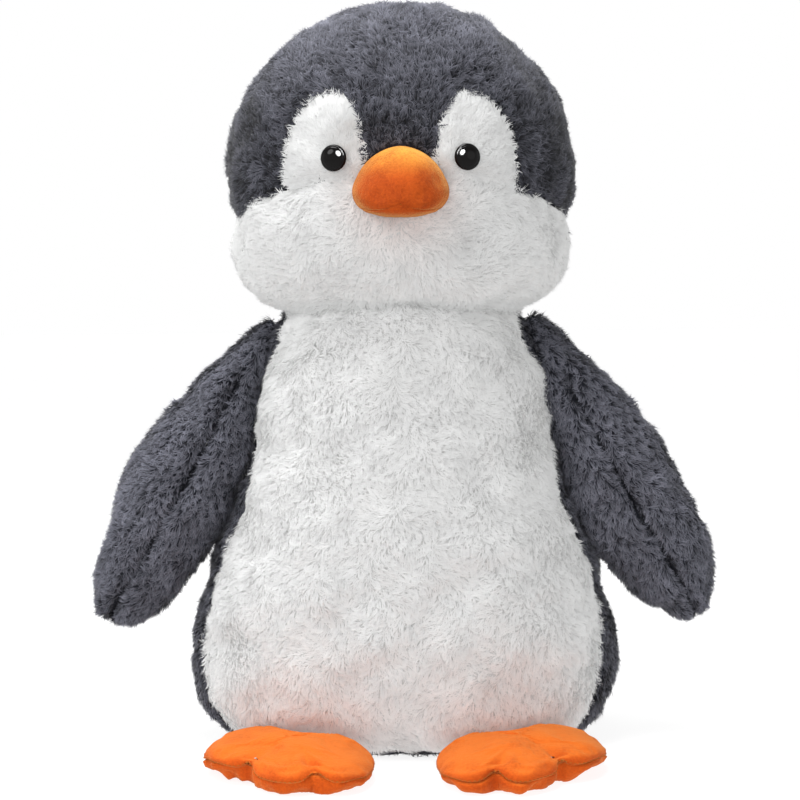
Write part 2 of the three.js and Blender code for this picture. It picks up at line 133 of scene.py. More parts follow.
# Share of the outline and height, from the crown over the edge and under to the sole's middle.
FOOT_SECTION = (
    (0, 36.5), (0.3, 36), (0.55, 34.5), (0.76, 30.5), (0.9, 25.5), (0.98, 19.5), (1, 15), (0.975, 10),
    (0.925, 4.5), (0.84, 1.2), (0.68, 0.6), (0.35, 0.6), (0, 0.6),
)
FOOT_SEAM_HEIGHT = 15
FOOT_PLEAT = 1.7  # depth of the pleats under the seam
STITCH = (3.4, 1.3, 1.1)  # length, gap and thickness
FOOT_FILLING = 0.86  # its share of the foot's size, to stay clear of the pinched toe gaps
FOOT_REACH = 75  # from its middle to its outline, on average

EYE = (64, 590.5)
EYE_RADIUS = 13
EYE_TURN = 0.28  # radians outwards from straight ahead
EYE_FORWARD = 3.2  # how far in front of the cloth its middle sits
EYE_SIDES = 72
EYE_CLEARING = 11.2  # no pile grows this near its middle
# A dome with a fine moulded ring, as (share of the radius, height over the cloth).
EYE_PROFILE = (
    (0, 6.9), (0.2, 6.78), (0.4, 6.4), (0.58, 5.75), (0.72, 4.9), (0.79, 4.35), (0.81, 4.02), (0.825, 4.0),
    (0.84, 4.1), (0.9, 3.5), (0.96, 2.7), (1, 1.7), (0.99, 0.9), (0.94, 0.5), (0.3, 0.5), (0.24, 0.2),
    (0.24, -16.5), (0, -16.5),
)

# Rows and columns of the grids.
HEAD_GRID = {"over": 52, "under": 34, "front": 124, "back": 56}
BODY_GRID = {"side": 88, "base": 26, "belly": 108, "back": 58}
FLIPPER_GRID = (84, 72)
FOOT_GRID = (66, 168)
BEAK_GRID = (44, 112)
CAP_ROWS = 7  # that close the neck of the head and of the body
PROFILE_STEPS = 2000

# How far under the cloth the filling ends, and how a padded piece is filled.
FILLING_DEPTH = 5 * MM
THIN = 0.6  # the patches' and the base's share of the cloth's thickness

# How each pile lies; Coat says what the words mean.
COATS = {
    "slate": {
        "root_lean": 0.92, "tip_lean": 1.30, "swirl": 0.50, "scatter": 0.26, "gather": 0.55,
        "tone": 0.34, "relief": 0.45,
    },
    "white": {
        "root_lean": 0.95, "tip_lean": 1.32, "swirl": 0.75, "scatter": 0.36, "gather": 0.55,
        "tone": 0.04, "relief": 0.12,
    },
}
# Tufts for each area, as shares of the setting: more where the pile is seen from close by.
TUFTS = {
    "face": 1.3, "head_back": 0.95, "patch": 1.7, "belly": 1.25, "back": 0.8, "base": 0.25,
    "flipper": 1.25,
}
BASE_LEANS = (1.35, 1.5)  # the pile that the penguin stands on is pressed flat
SEEDS = {"head": 100, "patch_left": 200, "patch_right": 210, "body": 300, "base": 350, "flipper": 400}

# The pile along the flippers' front seam, and how much lighter or darker a piece's pile is painted: painted
# shade on the cheeks and the eye patches, painted light on the flippers.
PARTING_WIDTH = 5.5
PARTING_DEPTH = 0.8
CHEEK_PAINTED_SHADE = -0.07
PATCH_PAINTED_SHADE = -0.14
FLIPPER_PAINTED_LIGHT = 0.32
PATCH_COAT = (0.92, 0.35)  # share of the white pile's length and swirl
PATCH_RINGS = 22
OUTLINE_POINTS = 60
BEAK_ROOT = 0.93  # share of the beak's width that has no pile under it

# Cloth for the simulation that swells the hollows.
SWELL_STEPS = 20
SWELL_CLOTH = {
    "quality": 4, "mass": 0.25, "tension_stiffness": 18, "compression_stiffness": 18,
    "shear_stiffness": 6, "bending_stiffness": 0.4, "shrink_min": -0.012, "use_pressure": True,
}

# The studio, in metres: each light's place and width. The floor and the surround are bright
# enough to come out as one white.
LIGHTS = {
    "key": ((-1.7, -1.6, 2.0), 1.3),
    "fill": ((1.7, -1.7, 1.0), 1.6),
    "top": ((-0.35, -0.15, 2.5), 1.3),
    "glint": ((0.0, -1.9, 1.5), 1.15),
}
LIGHTS_AIM_Z = 0.38
FLOOR_HALF = 30
FLOOR_GLOW = 0.88
SENSOR_WIDTH = 36
CAMERA_X = -1.5

# ---- Settings -----------------------------------------------------------------------------


def length_setting(name, description, default):
    return FloatProperty(name=name, description=description, default=default, min=0, unit="LENGTH")


def colour_setting(name, description, default):
    return FloatVectorProperty(
        name=name, description=description, default=default, subtype="COLOR", size=3, min=0, max=1
    )


class PenguinClothSettings(bpy.types.PropertyGroup):
    """Sizes of the sewn cloth and its filling."""

    skin_inset: length_setting("Skin inset", "How far the cloth lies under the tips of its pile", 0.0060)
    cloth: length_setting("Plush cloth", "Thickness of the backing cloth of the pile", 0.0022)
    velour: length_setting("Velour cloth", "Thickness of the beak's and feet's cloth", 0.0014)
    lump: length_setting("Lumps", "How unevenly the filling lies under the cloth", 0.0018)
    seam_depth: length_setting("Seam depth", "How far a seam pulls the cloth in", 0.0030)
    seam_width: length_setting("Seam width", "How far from its line a seam pulls", 0.0085)
    swell: length_setting("Most swell", "The furthest that the filling pushes the cloth out", 0.0035)
    pressure: FloatProperty(name="Filling", description="Pressure of the filling", default=3.0, min=0)


class PenguinPileSettings(bpy.types.PropertyGroup):
    """Sizes of the pile."""

    slate_length: length_setting("Slate pile", "Length of the dark pile", 0.0098)
    white_length: length_setting("White pile", "Length of the white pile", 0.0088)
    slate_width: length_setting("Slate tuft", "Width of a dark tuft at its root", 0.0011)
    white_width: length_setting("White tuft", "Width of a white tuft at its root", 0.00095)
    density: FloatProperty(name="Tufts", description="Tufts in each square centimetre", default=46, min=1)


class PenguinColourSettings(bpy.types.PropertyGroup):
    """Colours of the cloth, the pile and the eyes, as linear values."""

    # The slate pile's roots are far darker than its tips: painted shade deep in the pile.
    slate_root: colour_setting("Slate root", "Dark pile where it leaves the cloth", (0.009, 0.0095, 0.014))
    slate_tip: colour_setting("Slate tip", "Dark pile at its tips", (0.175, 0.178, 0.215))
    white_root: colour_setting("White root", "White pile where it leaves the cloth", (0.67, 0.67, 0.665))
    white_tip: colour_setting("White tip", "White pile at its tips", (0.69, 0.695, 0.69))
    orange: colour_setting("Orange", "Velour of the beak and feet", (0.74, 0.118, 0.010))
    orange_shade: colour_setting("Orange shade", "Velour brushed the other way", (0.50, 0.064, 0.005))
    # Painted sheen: the lighter velour where the cloth faces up, standing in for light from above.
    painted_sheen: colour_setting("Crest", "Velour seen along its nap", (0.98, 0.42, 0.06))
    thread: colour_setting("Thread", "Stitches of the feet", (0.36, 0.12, 0.02))
    eye: colour_setting("Eye", "Glossy plastic of the eyes", (0.004, 0.0035, 0.0035))


class PenguinStageSettings(bpy.types.PropertyGroup):
    """The studio."""

    floor: colour_setting("Floor", "Pale floor", (0.20, 0.20, 0.20))
    camera_distance: length_setting("Camera distance", "From the penguin's upright axis", 2.05)
    camera_height: length_setting("Camera height", "Above the floor", 0.45)
    camera_pitch: FloatProperty(
        name="Camera pitch", description="Downwards", default=math.radians(2.8), subtype="ANGLE"
    )
    focal_length: FloatProperty(name="Lens", description="Focal length in mm", default=88.65)
    key_power: FloatProperty(name="Key light", description="Large soft light", default=34, unit="POWER")
    fill_power: FloatProperty(name="Fill light", description="Opposite the key", default=4, unit="POWER")
    top_power: FloatProperty(name="Top light", description="Overhead", default=55, unit="POWER")
    glint_power: FloatProperty(
        name="Glint light", description="Seen only in the eyes", default=420, unit="POWER"
    )
    camera_roll: FloatProperty(
        name="Camera roll", description="Clockwise", default=0.008, subtype="ANGLE"
    )
    sky: FloatProperty(name="Sky", description="Light from the pale surround", default=1.0, min=0)
    ceiling: FloatProperty(name="Ceiling", description="Light from straight above", default=0.4, min=0)


SETTINGS = {
    "penguin_cloth": PenguinClothSettings,
    "penguin_pile": PenguinPileSettings,
    "penguin_colours": PenguinColourSettings,
    "penguin_stage": PenguinStageSettings,
}

# ---- Curves, fields and grids ---------------------------------------------------------------


def spaced(keys, count, lead=0, tail=0):
    """Even steps along a smooth curve through the keys, as an array of points.

    Each span is a cubic between two keys whose slopes are finite differences over the chord
    lengths. The first `lead` and the last `tail` keys only shape the slopes.
    """
    keys = np.asarray(keys, float)
    chord = np.r_[0, np.cumsum(np.linalg.norm(np.diff(keys, axis=0), axis=1))]
    slopes = np.gradient(keys, chord, axis=0)
    fine = np.linspace(chord[lead], chord[len(keys) - 1 - tail], 60 * len(keys))
    span = np.clip(np.searchsorted(chord, fine, side="right") - 1, 0, len(keys) - 2)
    width = (chord[span + 1] - chord[span])[:, None]
    t = (fine - chord[span])[:, None] / width
    points = (
        (1 + 2 * t) * (1 - t) ** 2 * keys[span]
        + t * (1 - t) ** 2 * width * slopes[span]
        + t * t * (3 - 2 * t) * keys[span + 1]
        + t * t * (t - 1) * width * slopes[span + 1]
    )
    length = np.r_[0, np.cumsum(np.linalg.norm(np.diff(points, axis=0), axis=1))]
    even = np.linspace(0, length[-1], count)
    return np.stack([np.interp(even, length, column) for column in points.T], axis=1)


def closed_curve(keys, count):
    """Even steps round a smooth closed curve through the keys, without its first point again."""
    keys = list(keys)
    return spaced(keys[-2:] + keys + keys[:3], count + 1, lead=2, tail=2)[:-1]


def mirrored_start(rings):
    """The rings with the second one mirrored in front of the first, so the pole comes out round."""
    across, deep, height = rings[1]
    return [(-across, -deep, height), *rings]


def unit(vectors):
    """Vectors made one long."""
    return vectors / np.maximum(np.linalg.norm(vectors, axis=-1, keepdims=True), 1e-9)


def smoothstep(low, high, value):
    """0 under low, 1 over high and an easy cubic between them."""
    t = np.clip((value - low) / (high - low), 0, 1)
    return t * t * (3 - 2 * t)


class Waves:
    """A smooth random field: a sum of sine waves with seeded headings, lengths and phases.

    value = sqrt(2 / n) * sum(sin(2 pi heading . point / length + phase)), which spreads about 1
    either side of 0. The slope is its gradient.
    """

    def __init__(self, seed, shortest, longest, count=20):
        rng = np.random.default_rng(seed)
        length = np.exp(rng.uniform(math.log(shortest), math.log(longest), count))
        self.turns = unit(rng.normal(size=(count, 3))) * (2 * math.pi / length)[:, None]
        self.phase = rng.uniform(0, 2 * math.pi, count)
        self.size = math.sqrt(2 / count)

    def __call__(self, points):
        return self.size * np.sin(points @ self.turns.T + self.phase).sum(axis=-1)

    def slope(self, points):
        return self.size * np.cos(points @ self.turns.T + self.phase) @ self.turns


def normals_of(grid):
    """Outward normals of a closed grid: the step down crossed with the step round."""
    down = np.gradient(grid, axis=0)
    around = np.roll(grid, -1, axis=1) - np.roll(grid, 1, axis=1)
    normals = unit(np.cross(down, around))
    normals[0] = unit(normals[1].mean(axis=0))
    normals[-1] = unit(normals[-2].mean(axis=0))
    return normals


def distance_to(points, line):
    """Shortest distance from each point to any point of a line."""
    flat = points.reshape(-1, 3)
    square = (flat**2).sum(1)[:, None] + (line**2).sum(1)[None] - 2 * flat @ line.T
    return np.sqrt(np.maximum(square.min(axis=1), 0)).reshape(points.shape[:-1])


def sunk(grid, line, depth, width):
    """The grid pulled in along a line: by depth * exp(-(distance / width) ** 2)."""
    pull = depth * np.exp(-((distance_to(grid, line) / width) ** 2))
    return grid - normals_of(grid) * pull[..., None]


def capped(grid, rows, at_top):
    """The grid with rows added that close its open rim to the rim's middle."""
    rim = grid[0] if at_top else grid[-1]
    share = np.linspace(0, 1, rows + 1)[1:, None, None]
    cap = rim + (rim.mean(axis=0) - rim) * share
    return np.concatenate([cap[::-1], grid]) if at_top else np.concatenate([grid, cap])


def block(grid, rows, columns):
    """The cloth panel between two rows and between two columns, which may pass the last one."""
    first, last = columns
    return np.take(grid[rows[0] : rows[1] + 1], range(first, last + 1), axis=1, mode="wrap")


def inside(outline, x, z):
    """Whether front-view points lie inside an outline, by counting the edges to one side."""
    outline = np.asarray(outline)
    x0, z0 = outline.T
    x1, z1 = np.roll(outline, -1, axis=0).T
    spans = (z0 > z[..., None]) != (z1 > z[..., None])
    rise = np.where(z1 == z0, 1e-9, z1 - z0)
    crossing = x0 + (z[..., None] - z0) * (x1 - x0) / rise
    return (spans & (x[..., None] < crossing)).sum(axis=-1) % 2 == 1


def closed_mesh(name, grid):
    """A mesh of a closed grid: a point at each pole, and one face per cell."""
    rows, columns = grid.shape[:2]
    points = np.concatenate([grid[0, :1], grid[1:-1].reshape(-1, 3), grid[-1, :1]])
    ids = 1 + np.arange((rows - 2) * columns).reshape(rows - 2, columns)
    beside = np.roll(ids, -1, axis=1)
    quads = np.stack([ids[:-1], ids[1:], beside[1:], beside[:-1]], axis=-1).reshape(-1, 4)
    top = np.stack([np.zeros_like(ids[0]), ids[0], beside[0]], axis=-1)
    bottom = np.stack([ids[-1], np.full_like(ids[-1], len(points) - 1), beside[-1]], axis=-1)
    mesh = bpy.data.meshes.new(name)
    mesh.from_pydata(points.tolist(), [], top.tolist() + quads.tolist() + bottom.tolist())
    mesh.update()
    return mesh


def stuffed(grid, held, pressure, most):
    """The closed form once its filling has pushed it out: cloth under pressure for a few steps.

    Points near a seam are held where they are, and no point moves further than `most`.
    """
    scene = bpy.context.scene
    piece = bpy.data.objects.new("filling_test", closed_mesh("filling_test", grid))
    scene.collection.objects.link(piece)
    group = piece.vertex_groups.new(name="held")
    group.add((1 + np.nonzero(held[1:-1].ravel())[0]).tolist(), 1.0, "REPLACE")
    cloth = piece.modifiers.new("Cloth", "CLOTH").settings
    for setting, value in SWELL_CLOTH.items():
        setattr(cloth, setting, value)
    cloth.uniform_pressure_force = pressure
    cloth.vertex_group_mass = "held"
    cloth.effector_weights.gravity = 0
    for step in range(1, SWELL_STEPS + 1):
        scene.frame_set(step)
    mesh = piece.evaluated_get(bpy.context.evaluated_depsgraph_get()).data
    points = np.zeros(len(mesh.vertices) * 3)
    mesh.vertices.foreach_get("co", points)
    points = points.reshape(-1, 3)
    scene.frame_set(1)
    bpy.data.objects.remove(piece)
    pushed = grid.copy()
    pushed[0] = points[0]
    pushed[-1] = points[-1]
    pushed[1:-1] = points[1:-1].reshape(grid[1:-1].shape)
    step = pushed - grid
    reach = np.linalg.norm(step, axis=-1, keepdims=True)
    return grid + step * np.minimum(1, most / np.maximum(reach, 1e-9))


# ---- Sewn hollows ---------------------------------------------------------------------------


@dataclass
class Hollow:
    """A stuffed hollow: its closed grid, the grid's normals, and its seams' rows and columns."""

    grid: np.ndarray
    normals: np.ndarray
    marks: dict

    def part(self, rows, columns):
        """The grid and the normals between two rows and between two columns."""
        return block(self.grid, rows, columns), block(self.normals, rows, columns)


def ringed(profile, turn):
    """Points of a round form: each profile point (half width, half depth, height) carried round
    the upright axis as the boxed ellipse |x / width|^n + |y / depth|^n = 1, at each turn."""
    cosine, sine = np.cos(turn), np.sin(turn)
    reach = (np.abs(cosine) ** SQUARENESS + np.abs(sine) ** SQUARENESS) ** (-1 / SQUARENESS)
    width, depth, height = np.moveaxis(profile, -1, 0)
    x, y = width * cosine * reach, AXIS_Y + depth * sine * reach
    return np.stack([x, y, height + 0 * x], axis=-1)


def inset(profile, amount):
    """A profile of rings drawn in square to itself."""
    direction = unit(np.gradient(profile[:, [0, 2]], axis=0))
    out = np.stack([-direction[:, 1], -direction[:, 1], direction[:, 0]], axis=1)
    drawn = profile - amount * out
    drawn[:, :2] = np.maximum(drawn[:, :2], 0)
    return drawn


def sections(counts, ends):
    """Column turns: `counts` even steps between each two ends. An end may be an array of rows."""
    parts = []
    for count, start, stop in zip(counts, ends, ends[1:]):
        share = np.arange(count) / count
        parts.append(np.asarray(start)[..., None] * (1 - share) + np.asarray(stop)[..., None] * share)
    return np.concatenate(parts, axis=-1)


def chin_arch(grid):
    """The neck seam's front raised between the two jowls, fading out above and below it."""
    x, y, z = np.moveaxis(grid, -1, 0)
    front = smoothstep(0.02, 0.09, AXIS_Y - y)
    rise, width = CHIN_ARCH
    lift = rise * MM * np.exp(-((x / (width * MM)) ** 2)) * front
    raised = grid.copy()
    raised[..., 2] += lift * (1 - smoothstep(0, 0.05, np.abs(z - NECK_Z)))
    return raised


def settled(grid, seams, seed, lump_lengths, shallow=()):
    """The grid with the filling's lumps, its seams pulled in, and swollen between them. The
    `shallow` seams are pulled in by a third of the depth."""
    cloth = bpy.context.scene.penguin_cloth
    lumps, folds = Waves(seed, *lump_lengths), Waves(seed + 1, 0.02, 0.045)
    height = cloth.lump * (lumps(grid) + 0.28 * folds(grid))
    grid = grid + normals_of(grid) * height[..., None]
    near = np.zeros(grid.shape[:2], bool)
    for line in seams:
        grid = sunk(grid, line, cloth.seam_depth, cloth.seam_width)
    for line in shallow:
        grid = sunk(grid, line, cloth.seam_depth / 3, cloth.seam_width)
    for line in (*seams, *shallow):
        near |= distance_to(grid, line) < 1.5 * cloth.seam_depth
    return stuffed(grid, near, cloth.pressure, cloth.swell)


def sampled(profile, places):
    """A profile's points at shares of its length, as linear steps between its points."""
    share = np.linspace(0, 1, len(profile))
    return np.stack([np.interp(places, share, column) for column in profile.T], axis=-1)


@lru_cache(maxsize=None)
def head_form():
    """The head. Rows 0 to `cheek` lie over the cheek seam in front, and `neck` is its open rim."""
    cloth = bpy.context.scene.penguin_cloth
    profile = inset(spaced(mirrored_start(HEAD_RINGS), PROFILE_STEPS, lead=1) * MM, cloth.skin_inset)
    profile[-1, 2] = NECK_Z + 0.5 * MM
    share = np.linspace(0, 1, len(profile))
    over, under, front, back = HEAD_GRID.values()
    side, rear = SIDE_SEAM_TURN, math.pi / 2
    turn = sections((front, back, back), (-math.pi - side, side, rear, math.pi - side))
    x = ringed(profile[:, None], turn[None])[..., 0]
    seam = np.interp(np.abs(x), *(np.array(CHEEK_SEAM).T * MM))
    seam[:, front:] = CHEEK_SEAM[-1][1] * MM
    meet = share[np.argmax(profile[:, 2, None] < seam, axis=0)]
    upper = np.linspace(0, 1, over + 1)[:, None] * meet
    lower = meet + np.linspace(0, 1, under + 1)[1:, None] * (1 - meet)
    rings = sampled(profile, np.concatenate([upper, lower]))
    grid = chin_arch(ringed(rings, turn))
    neck = over + under
    grid = capped(grid, CAP_ROWS, at_top=False)
    marks = {"cheek": over, "neck": neck, "left": front, "rear": front + back, "right": 0}
    patch = closed_curve(EYE_PATCH, OUTLINE_POINTS) * MM
    sides = [grid[: neck + 1, column] for column in (0, front, front + back)]
    lines = [grid[over, : front + 1]]
    lines += [on_face(grid, sign * patch[:, 0], patch[:, 1]) for sign in SIDES.values()]
    grid = settled(grid, lines, 11, (0.06, 0.13), sides)
    return Hollow(grid, normals_of(grid), marks)


@lru_cache(maxsize=None)
def body_form():
    """The body. Rows `neck` to `base` are its side, and the rest the flat underside."""
    cloth = bpy.context.scene.penguin_cloth
    profile = inset(spaced(BODY_RINGS, PROFILE_STEPS) * MM, cloth.skin_inset)
    profile[:, 2] = np.maximum(profile[:, 2], 2.2 * MM)
    profile[0, 2] = NECK_Z + 1.5 * MM
    share = np.linspace(0, 1, len(profile))
    edge = share[np.argmax(profile[:, 2] < BASE_SEAM_Z * MM)]
    side_rows, base_rows, belly, back = BODY_GRID.values()
    rings = sampled(
        profile, np.r_[np.linspace(0, edge, side_rows + 1), np.linspace(edge, 1, base_rows + 1)[1:]]
    )
    quarter = np.linspace(-math.pi / 2, 0, 200)
    reach = ringed(rings[:, None], quarter[None])[..., 0]
    heights, seam_x = np.array(BELLY_SEAM[::-1]).T[::-1] * MM
    wanted = np.interp(rings[:, 2], heights, seam_x)
    over = reach < wanted[:, None]
    seam = quarter[np.minimum(over.sum(axis=1), len(quarter) - 1)]
    seam[side_rows:] = seam[side_rows]
    seam = np.convolve(np.pad(seam, 3, mode="edge"), np.ones(7) / 7, mode="valid")
    rear = np.full_like(seam, math.pi / 2)
    turn = sections((belly, back, back), (-math.pi - seam, seam, rear, math.pi - seam))
    grid = chin_arch(ringed(rings[:, None], turn))
    cap = CAP_ROWS
    grid = capped(grid, cap, at_top=True)
    marks = {"neck": cap, "base": cap + side_rows, "left": belly, "rear": belly + back, "right": 0}
    marks["end"] = len(grid) - 1
    lines = [grid[cap : marks["base"] + 1, column] for column in (0, belly, belly + back)]
    lines.append(grid[marks["base"]])
    grid = settled(grid, lines, 23, (0.05, 0.12))
    grid[..., 2] = np.maximum(grid[..., 2], 2 * MM)
    return Hollow(grid, normals_of(grid), marks)


def on_face(grid, x, z):
    """Points of the head's front at front-view places: its depth averaged over the grid points
    near each place, weighted by exp(-(distance / 5 mm) ** 2)."""
    front = grid[..., 1] < AXIS_Y
    known = grid[front]
    square = (x.ravel()[:, None] - known[:, 0]) ** 2 + (z.ravel()[:, None] - known[:, 2]) ** 2
    weight = np.exp(-square / (5 * MM) ** 2)
    y = (weight * known[:, 1]).sum(axis=1) / weight.sum(axis=1)
    return np.stack([x, y.reshape(x.shape), z], axis=-1)


def body_sizes(height):
    """The body's half width and half depth at each height, over its pile."""
    profile = np.array(BODY_RINGS[:-BODY_UNDERSIDE], float) * MM
    return [np.interp(-height, -profile[:, 2], profile[:, k]) for k in (0, 1)]


def press_out(grid, room):
    """The points that would lie inside the body moved straight out to its skin, plus `room`."""
    room -= bpy.context.scene.penguin_cloth.skin_inset
    width, depth = (size + room for size in body_sizes(grid[..., 2]))
    x, y = grid[..., 0], grid[..., 1] - AXIS_Y
    level = (np.abs(x / width) ** SQUARENESS + np.abs(y / depth) ** SQUARENESS) ** (1 / SQUARENESS)
    scale = np.where((level < 1) & (grid[..., 2] < NECK_Z), 1 / np.maximum(level, 1e-6), 1)
    moved = grid.copy()
    moved[..., 0] = x * scale
    moved[..., 1] = AXIS_Y + y * scale
    return moved


FLIPPER_ALONG = np.array([math.sin(FLIPPER_HANG), 0, -math.cos(FLIPPER_HANG)])
FLIPPER_OUT = np.array([math.cos(FLIPPER_HANG), 0, math.sin(FLIPPER_HANG)])
FLIPPER_START = np.array([FLIPPER_ROOT[0] * MM, AXIS_Y - FLIPPER_FORWARD * MM, FLIPPER_ROOT[1] * MM])


@lru_cache(maxsize=None)
def flipper_form(side):
    """A flipper: ellipses along its middle line, with its two lengthwise seams at columns
    `front` and `back`. The outer panel runs from the front seam over the outside."""
    rows, columns = FLIPPER_GRID
    keys = np.array(FLIPPER_RINGS, float)
    beyond = keys[[1, -2]] * np.array([1, -1, -1, 1])
    rings = spaced([beyond[0], *keys, beyond[1]], rows + 1, lead=1, tail=1) * MM
    rings[:, :3] *= FLIPPER_TRIM
    along, wide, deep, shift = (column[:, None] for column in rings.T)
    turn = np.linspace(-math.pi / 2, 1.5 * math.pi, columns, endpoint=False)[None]
    out = shift + wide * np.cos(turn)
    y = deep * np.sin(turn)
    grid = FLIPPER_START + along[..., None] * FLIPPER_ALONG + out[..., None] * FLIPPER_OUT
    grid = grid + y[..., None] * np.array([0, 1, 0])
    grid[0] = grid[0].mean(axis=0)
    grid[-1] = grid[-1].mean(axis=0)
    grid = press_out(grid, 1.5 * MM)
    half = columns // 2
    lines = [grid[14:-1, 0], grid[14:-1, half]]
    grid = settled(grid, lines, 31 if side == "left" else 37, (0.05, 0.11))
    grid = sunk(grid, grid[16:-2, 0], FLIPPER_SEAM * MM, FLIPPER_SEAM * MM)
    grid = press_out(grid, 1.5 * MM)
    marks = {"front": 0, "back": half, "end": rows}
    if side == "right":
        grid = grid[:, ::-1] * np.array([-1, 1, 1])
        marks = {"front": columns - 1, "back": half - 1, "end": rows}
    return Hollow(grid, normals_of(grid), marks)


@lru_cache(maxsize=None)
def foot_form(side):
    """A foot: its outline scaled at each height, pinched in and up at the toe gaps."""
    rows, columns = FOOT_GRID
    outline = closed_curve(FOOT_OUTLINE, columns)
    scale = np.array([FOOT_REACH, 1])
    section = spaced(np.array(FOOT_SECTION) * scale, rows + 1) / scale
    middle = np.array(FOOT_MIDDLE)
    away = outline - middle
    share = section[:, :1]
    height = section[:, 1:]
    pinch = sum(np.exp(-(((outline - gap) ** 2).sum(axis=1)) / GAP_WIDTH**2) for gap in TOE_GAPS)
    rim = np.exp(-(((share - 1) / 0.12) ** 2)) * (height < 27)
    reach = share * (1 - 0.075 * pinch * smoothstep(0.35, 1, share))
    lift = 6.5 * pinch * rim * smoothstep(0, 12, height)
    dent = 3.2 * pinch * smoothstep(0.45, 0.9, share) * (height > 16)
    x = middle[0] + away[:, 0] * reach
    y = middle[1] + away[:, 1] * reach
    z = height + lift - dent + 0 * x
    outer = smoothstep(120, 200, x) * smoothstep(150, 230, y)
    z = z + 7 * outer
    heel = 1 - smoothstep(120, 225, y)
    z = z + 0.42 * heel * np.maximum(z - 15, 0)
    grid = np.stack([x, AXIS_Y / MM - y, z], axis=-1) * MM
    edge = int(np.argmax((section[:, 0] > 0.9) & (section[:, 1] < FOOT_SEAM_HEIGHT)))
    grid = away_from_body(grid)
    cloth = bpy.context.scene.penguin_cloth
    grid = sunk(grid, grid[edge], 1.6 * MM, 2.6 * MM)
    near = distance_to(grid, grid[edge]) < 1.5 * MM
    near |= grid[..., 2] < 1.5 * MM
    grid = stuffed(grid, near, cloth.pressure, 3.0 * MM)
    wrinkle = Waves(41 if side == "left" else 43, 0.016, 0.045)
    skirt = np.exp(-((distance_to(grid, grid[edge]) / (9 * MM)) ** 2)) * 0.4 * MM
    below = (np.arange(rows + 1) > edge)[:, None] * smoothstep(0, 3 * MM, distance_to(grid, grid[edge]))
    skirt = skirt + FOOT_PLEAT * MM * below * (share > 0.78)
    grid = grid + normals_of(grid) * (skirt * wrinkle(grid * np.array([1, 1, 0.25])))[..., None]
    grid[..., 2] = np.maximum(grid[..., 2], 0.5 * MM)
    marks = {"edge": edge, "end": rows}
    if side == "right":
        grid = grid[:, ::-1] * np.array([-1, 1, 1])
    return Hollow(grid, normals_of(grid), marks)


def away_from_body(grid):
    """Points of a foot that would lie inside the body moved forwards to its skin."""
    width, depth = body_sizes(grid[..., 2])
    share = np.clip(np.abs(grid[..., 0]) / width, 0, 0.999)
    skin = AXIS_Y - depth * (1 - share**SQUARENESS) ** (1 / SQUARENESS)
    moved = grid.copy()
    moved[..., 1] = np.minimum(moved[..., 1], skin - 0.5 * MM)
    return moved


@lru_cache(maxsize=None)
def beak_form():
    """The beak: its outline on the face, closing to a blunt drooping tip as
    share = (1 - along ** 2.5) ** 0.5. Rows run from the tip back to the face."""
    rows, columns = BEAK_GRID
    half = spaced([(-26, 592), *BEAK_OUTLINE, (-23, 535)], columns // 2 + 1, lead=1, tail=1)
    outline = np.concatenate([half, half[1:-1][::-1] * np.array([-1, 1])])[::-1]
    outline = np.roll(outline, 1, axis=0) * MM
    root = on_face(head_form().grid, outline[:, 0], outline[:, 1])
    rise = outline[:, 1] - BEAK_MIDDLE_Z * MM
    along = np.sin(np.linspace(1, 0, rows + 1) * math.pi / 2)[:, None]
    share = (1 - along**2.5) ** 0.5
    tip_y = AXIS_Y - BEAK_REACH * MM
    bulge = 1 - 0.02 * np.sin(math.pi * np.clip(along * 1.6, 0, 1))
    x = outline[:, 0] * share * bulge
    y = root[:, 1] + 2 * MM + (tip_y - root[:, 1] - 2 * MM) * along
    z = BEAK_MIDDLE_Z * MM + rise * share * bulge - BEAK_DROOP * MM * along**2.5
    grid = np.stack([x, y, z], axis=-1)
    grid[0] = grid[0].mean(axis=0)
    low = np.nonzero(outline[:, 1] < BEAK_SEAM_Z * MM)[0]
    low_right, low_left = low.min(), low.max()
    marks = {"start": int(low_right), "stop": int(low_left), "root": rows}
    grid = capped(grid, 5, at_top=False)
    line = grid[:rows, [low_right, low_left]].reshape(-1, 3)
    grid = sunk(grid, line, 0.6 * MM, 1.8 * MM)
    near = distance_to(grid, line) < 1.2 * MM
    near[rows - 1 :] = True
    grid = stuffed(grid, near, bpy.context.scene.penguin_cloth.pressure, 0.5 * MM)
    return Hollow(grid, normals_of(grid), marks)


# ---- Pieces ---------------------------------------------------------------------------------


def place(mesh, name, material, body, smooth=True):
    """A finished piece in the scene: its material and the body it rides on."""
    mesh.materials.append(material)
    mesh.polygons.foreach_set("use_smooth", np.full(len(mesh.polygons), smooth))
    piece = bpy.data.objects.new(name, mesh)
    bpy.context.scene.collection.objects.link(piece)
    if isinstance(body, str):
        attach(piece, body)
    return piece


def bend_with(piece):
    """A flipper's piece with its placement baked into its mesh."""
    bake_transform(piece)


def panel(name, grid, material, body, thickness, replaced=()):
    """A cloth panel: one face per grid cell, a pole's cells closed to triangles, given the
    cloth's thickness on its inner side."""
    rows, columns = grid.shape[:2]
    ids = np.arange(rows * columns).reshape(rows, columns)
    quads = np.stack([ids[:-1, :-1], ids[1:, :-1], ids[1:, 1:], ids[:-1, 1:]], axis=-1)
    mesh = bpy.data.meshes.new(name)
    mesh.from_pydata(grid.reshape(-1, 3).tolist(), [], quads.reshape(-1, 4).tolist())
    shell = bmesh.new()
    shell.from_mesh(mesh)
    bmesh.ops.remove_doubles(shell, verts=shell.verts, dist=1e-6)
    shell.to_mesh(mesh)
    shell.free()
    piece = place(mesh, name, material, body)
    wall = piece.modifiers.new("Cloth thickness", "SOLIDIFY")
    wall.thickness = thickness
    wall.offset = -1
    if replaced:
        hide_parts(*replaced)
    return piece


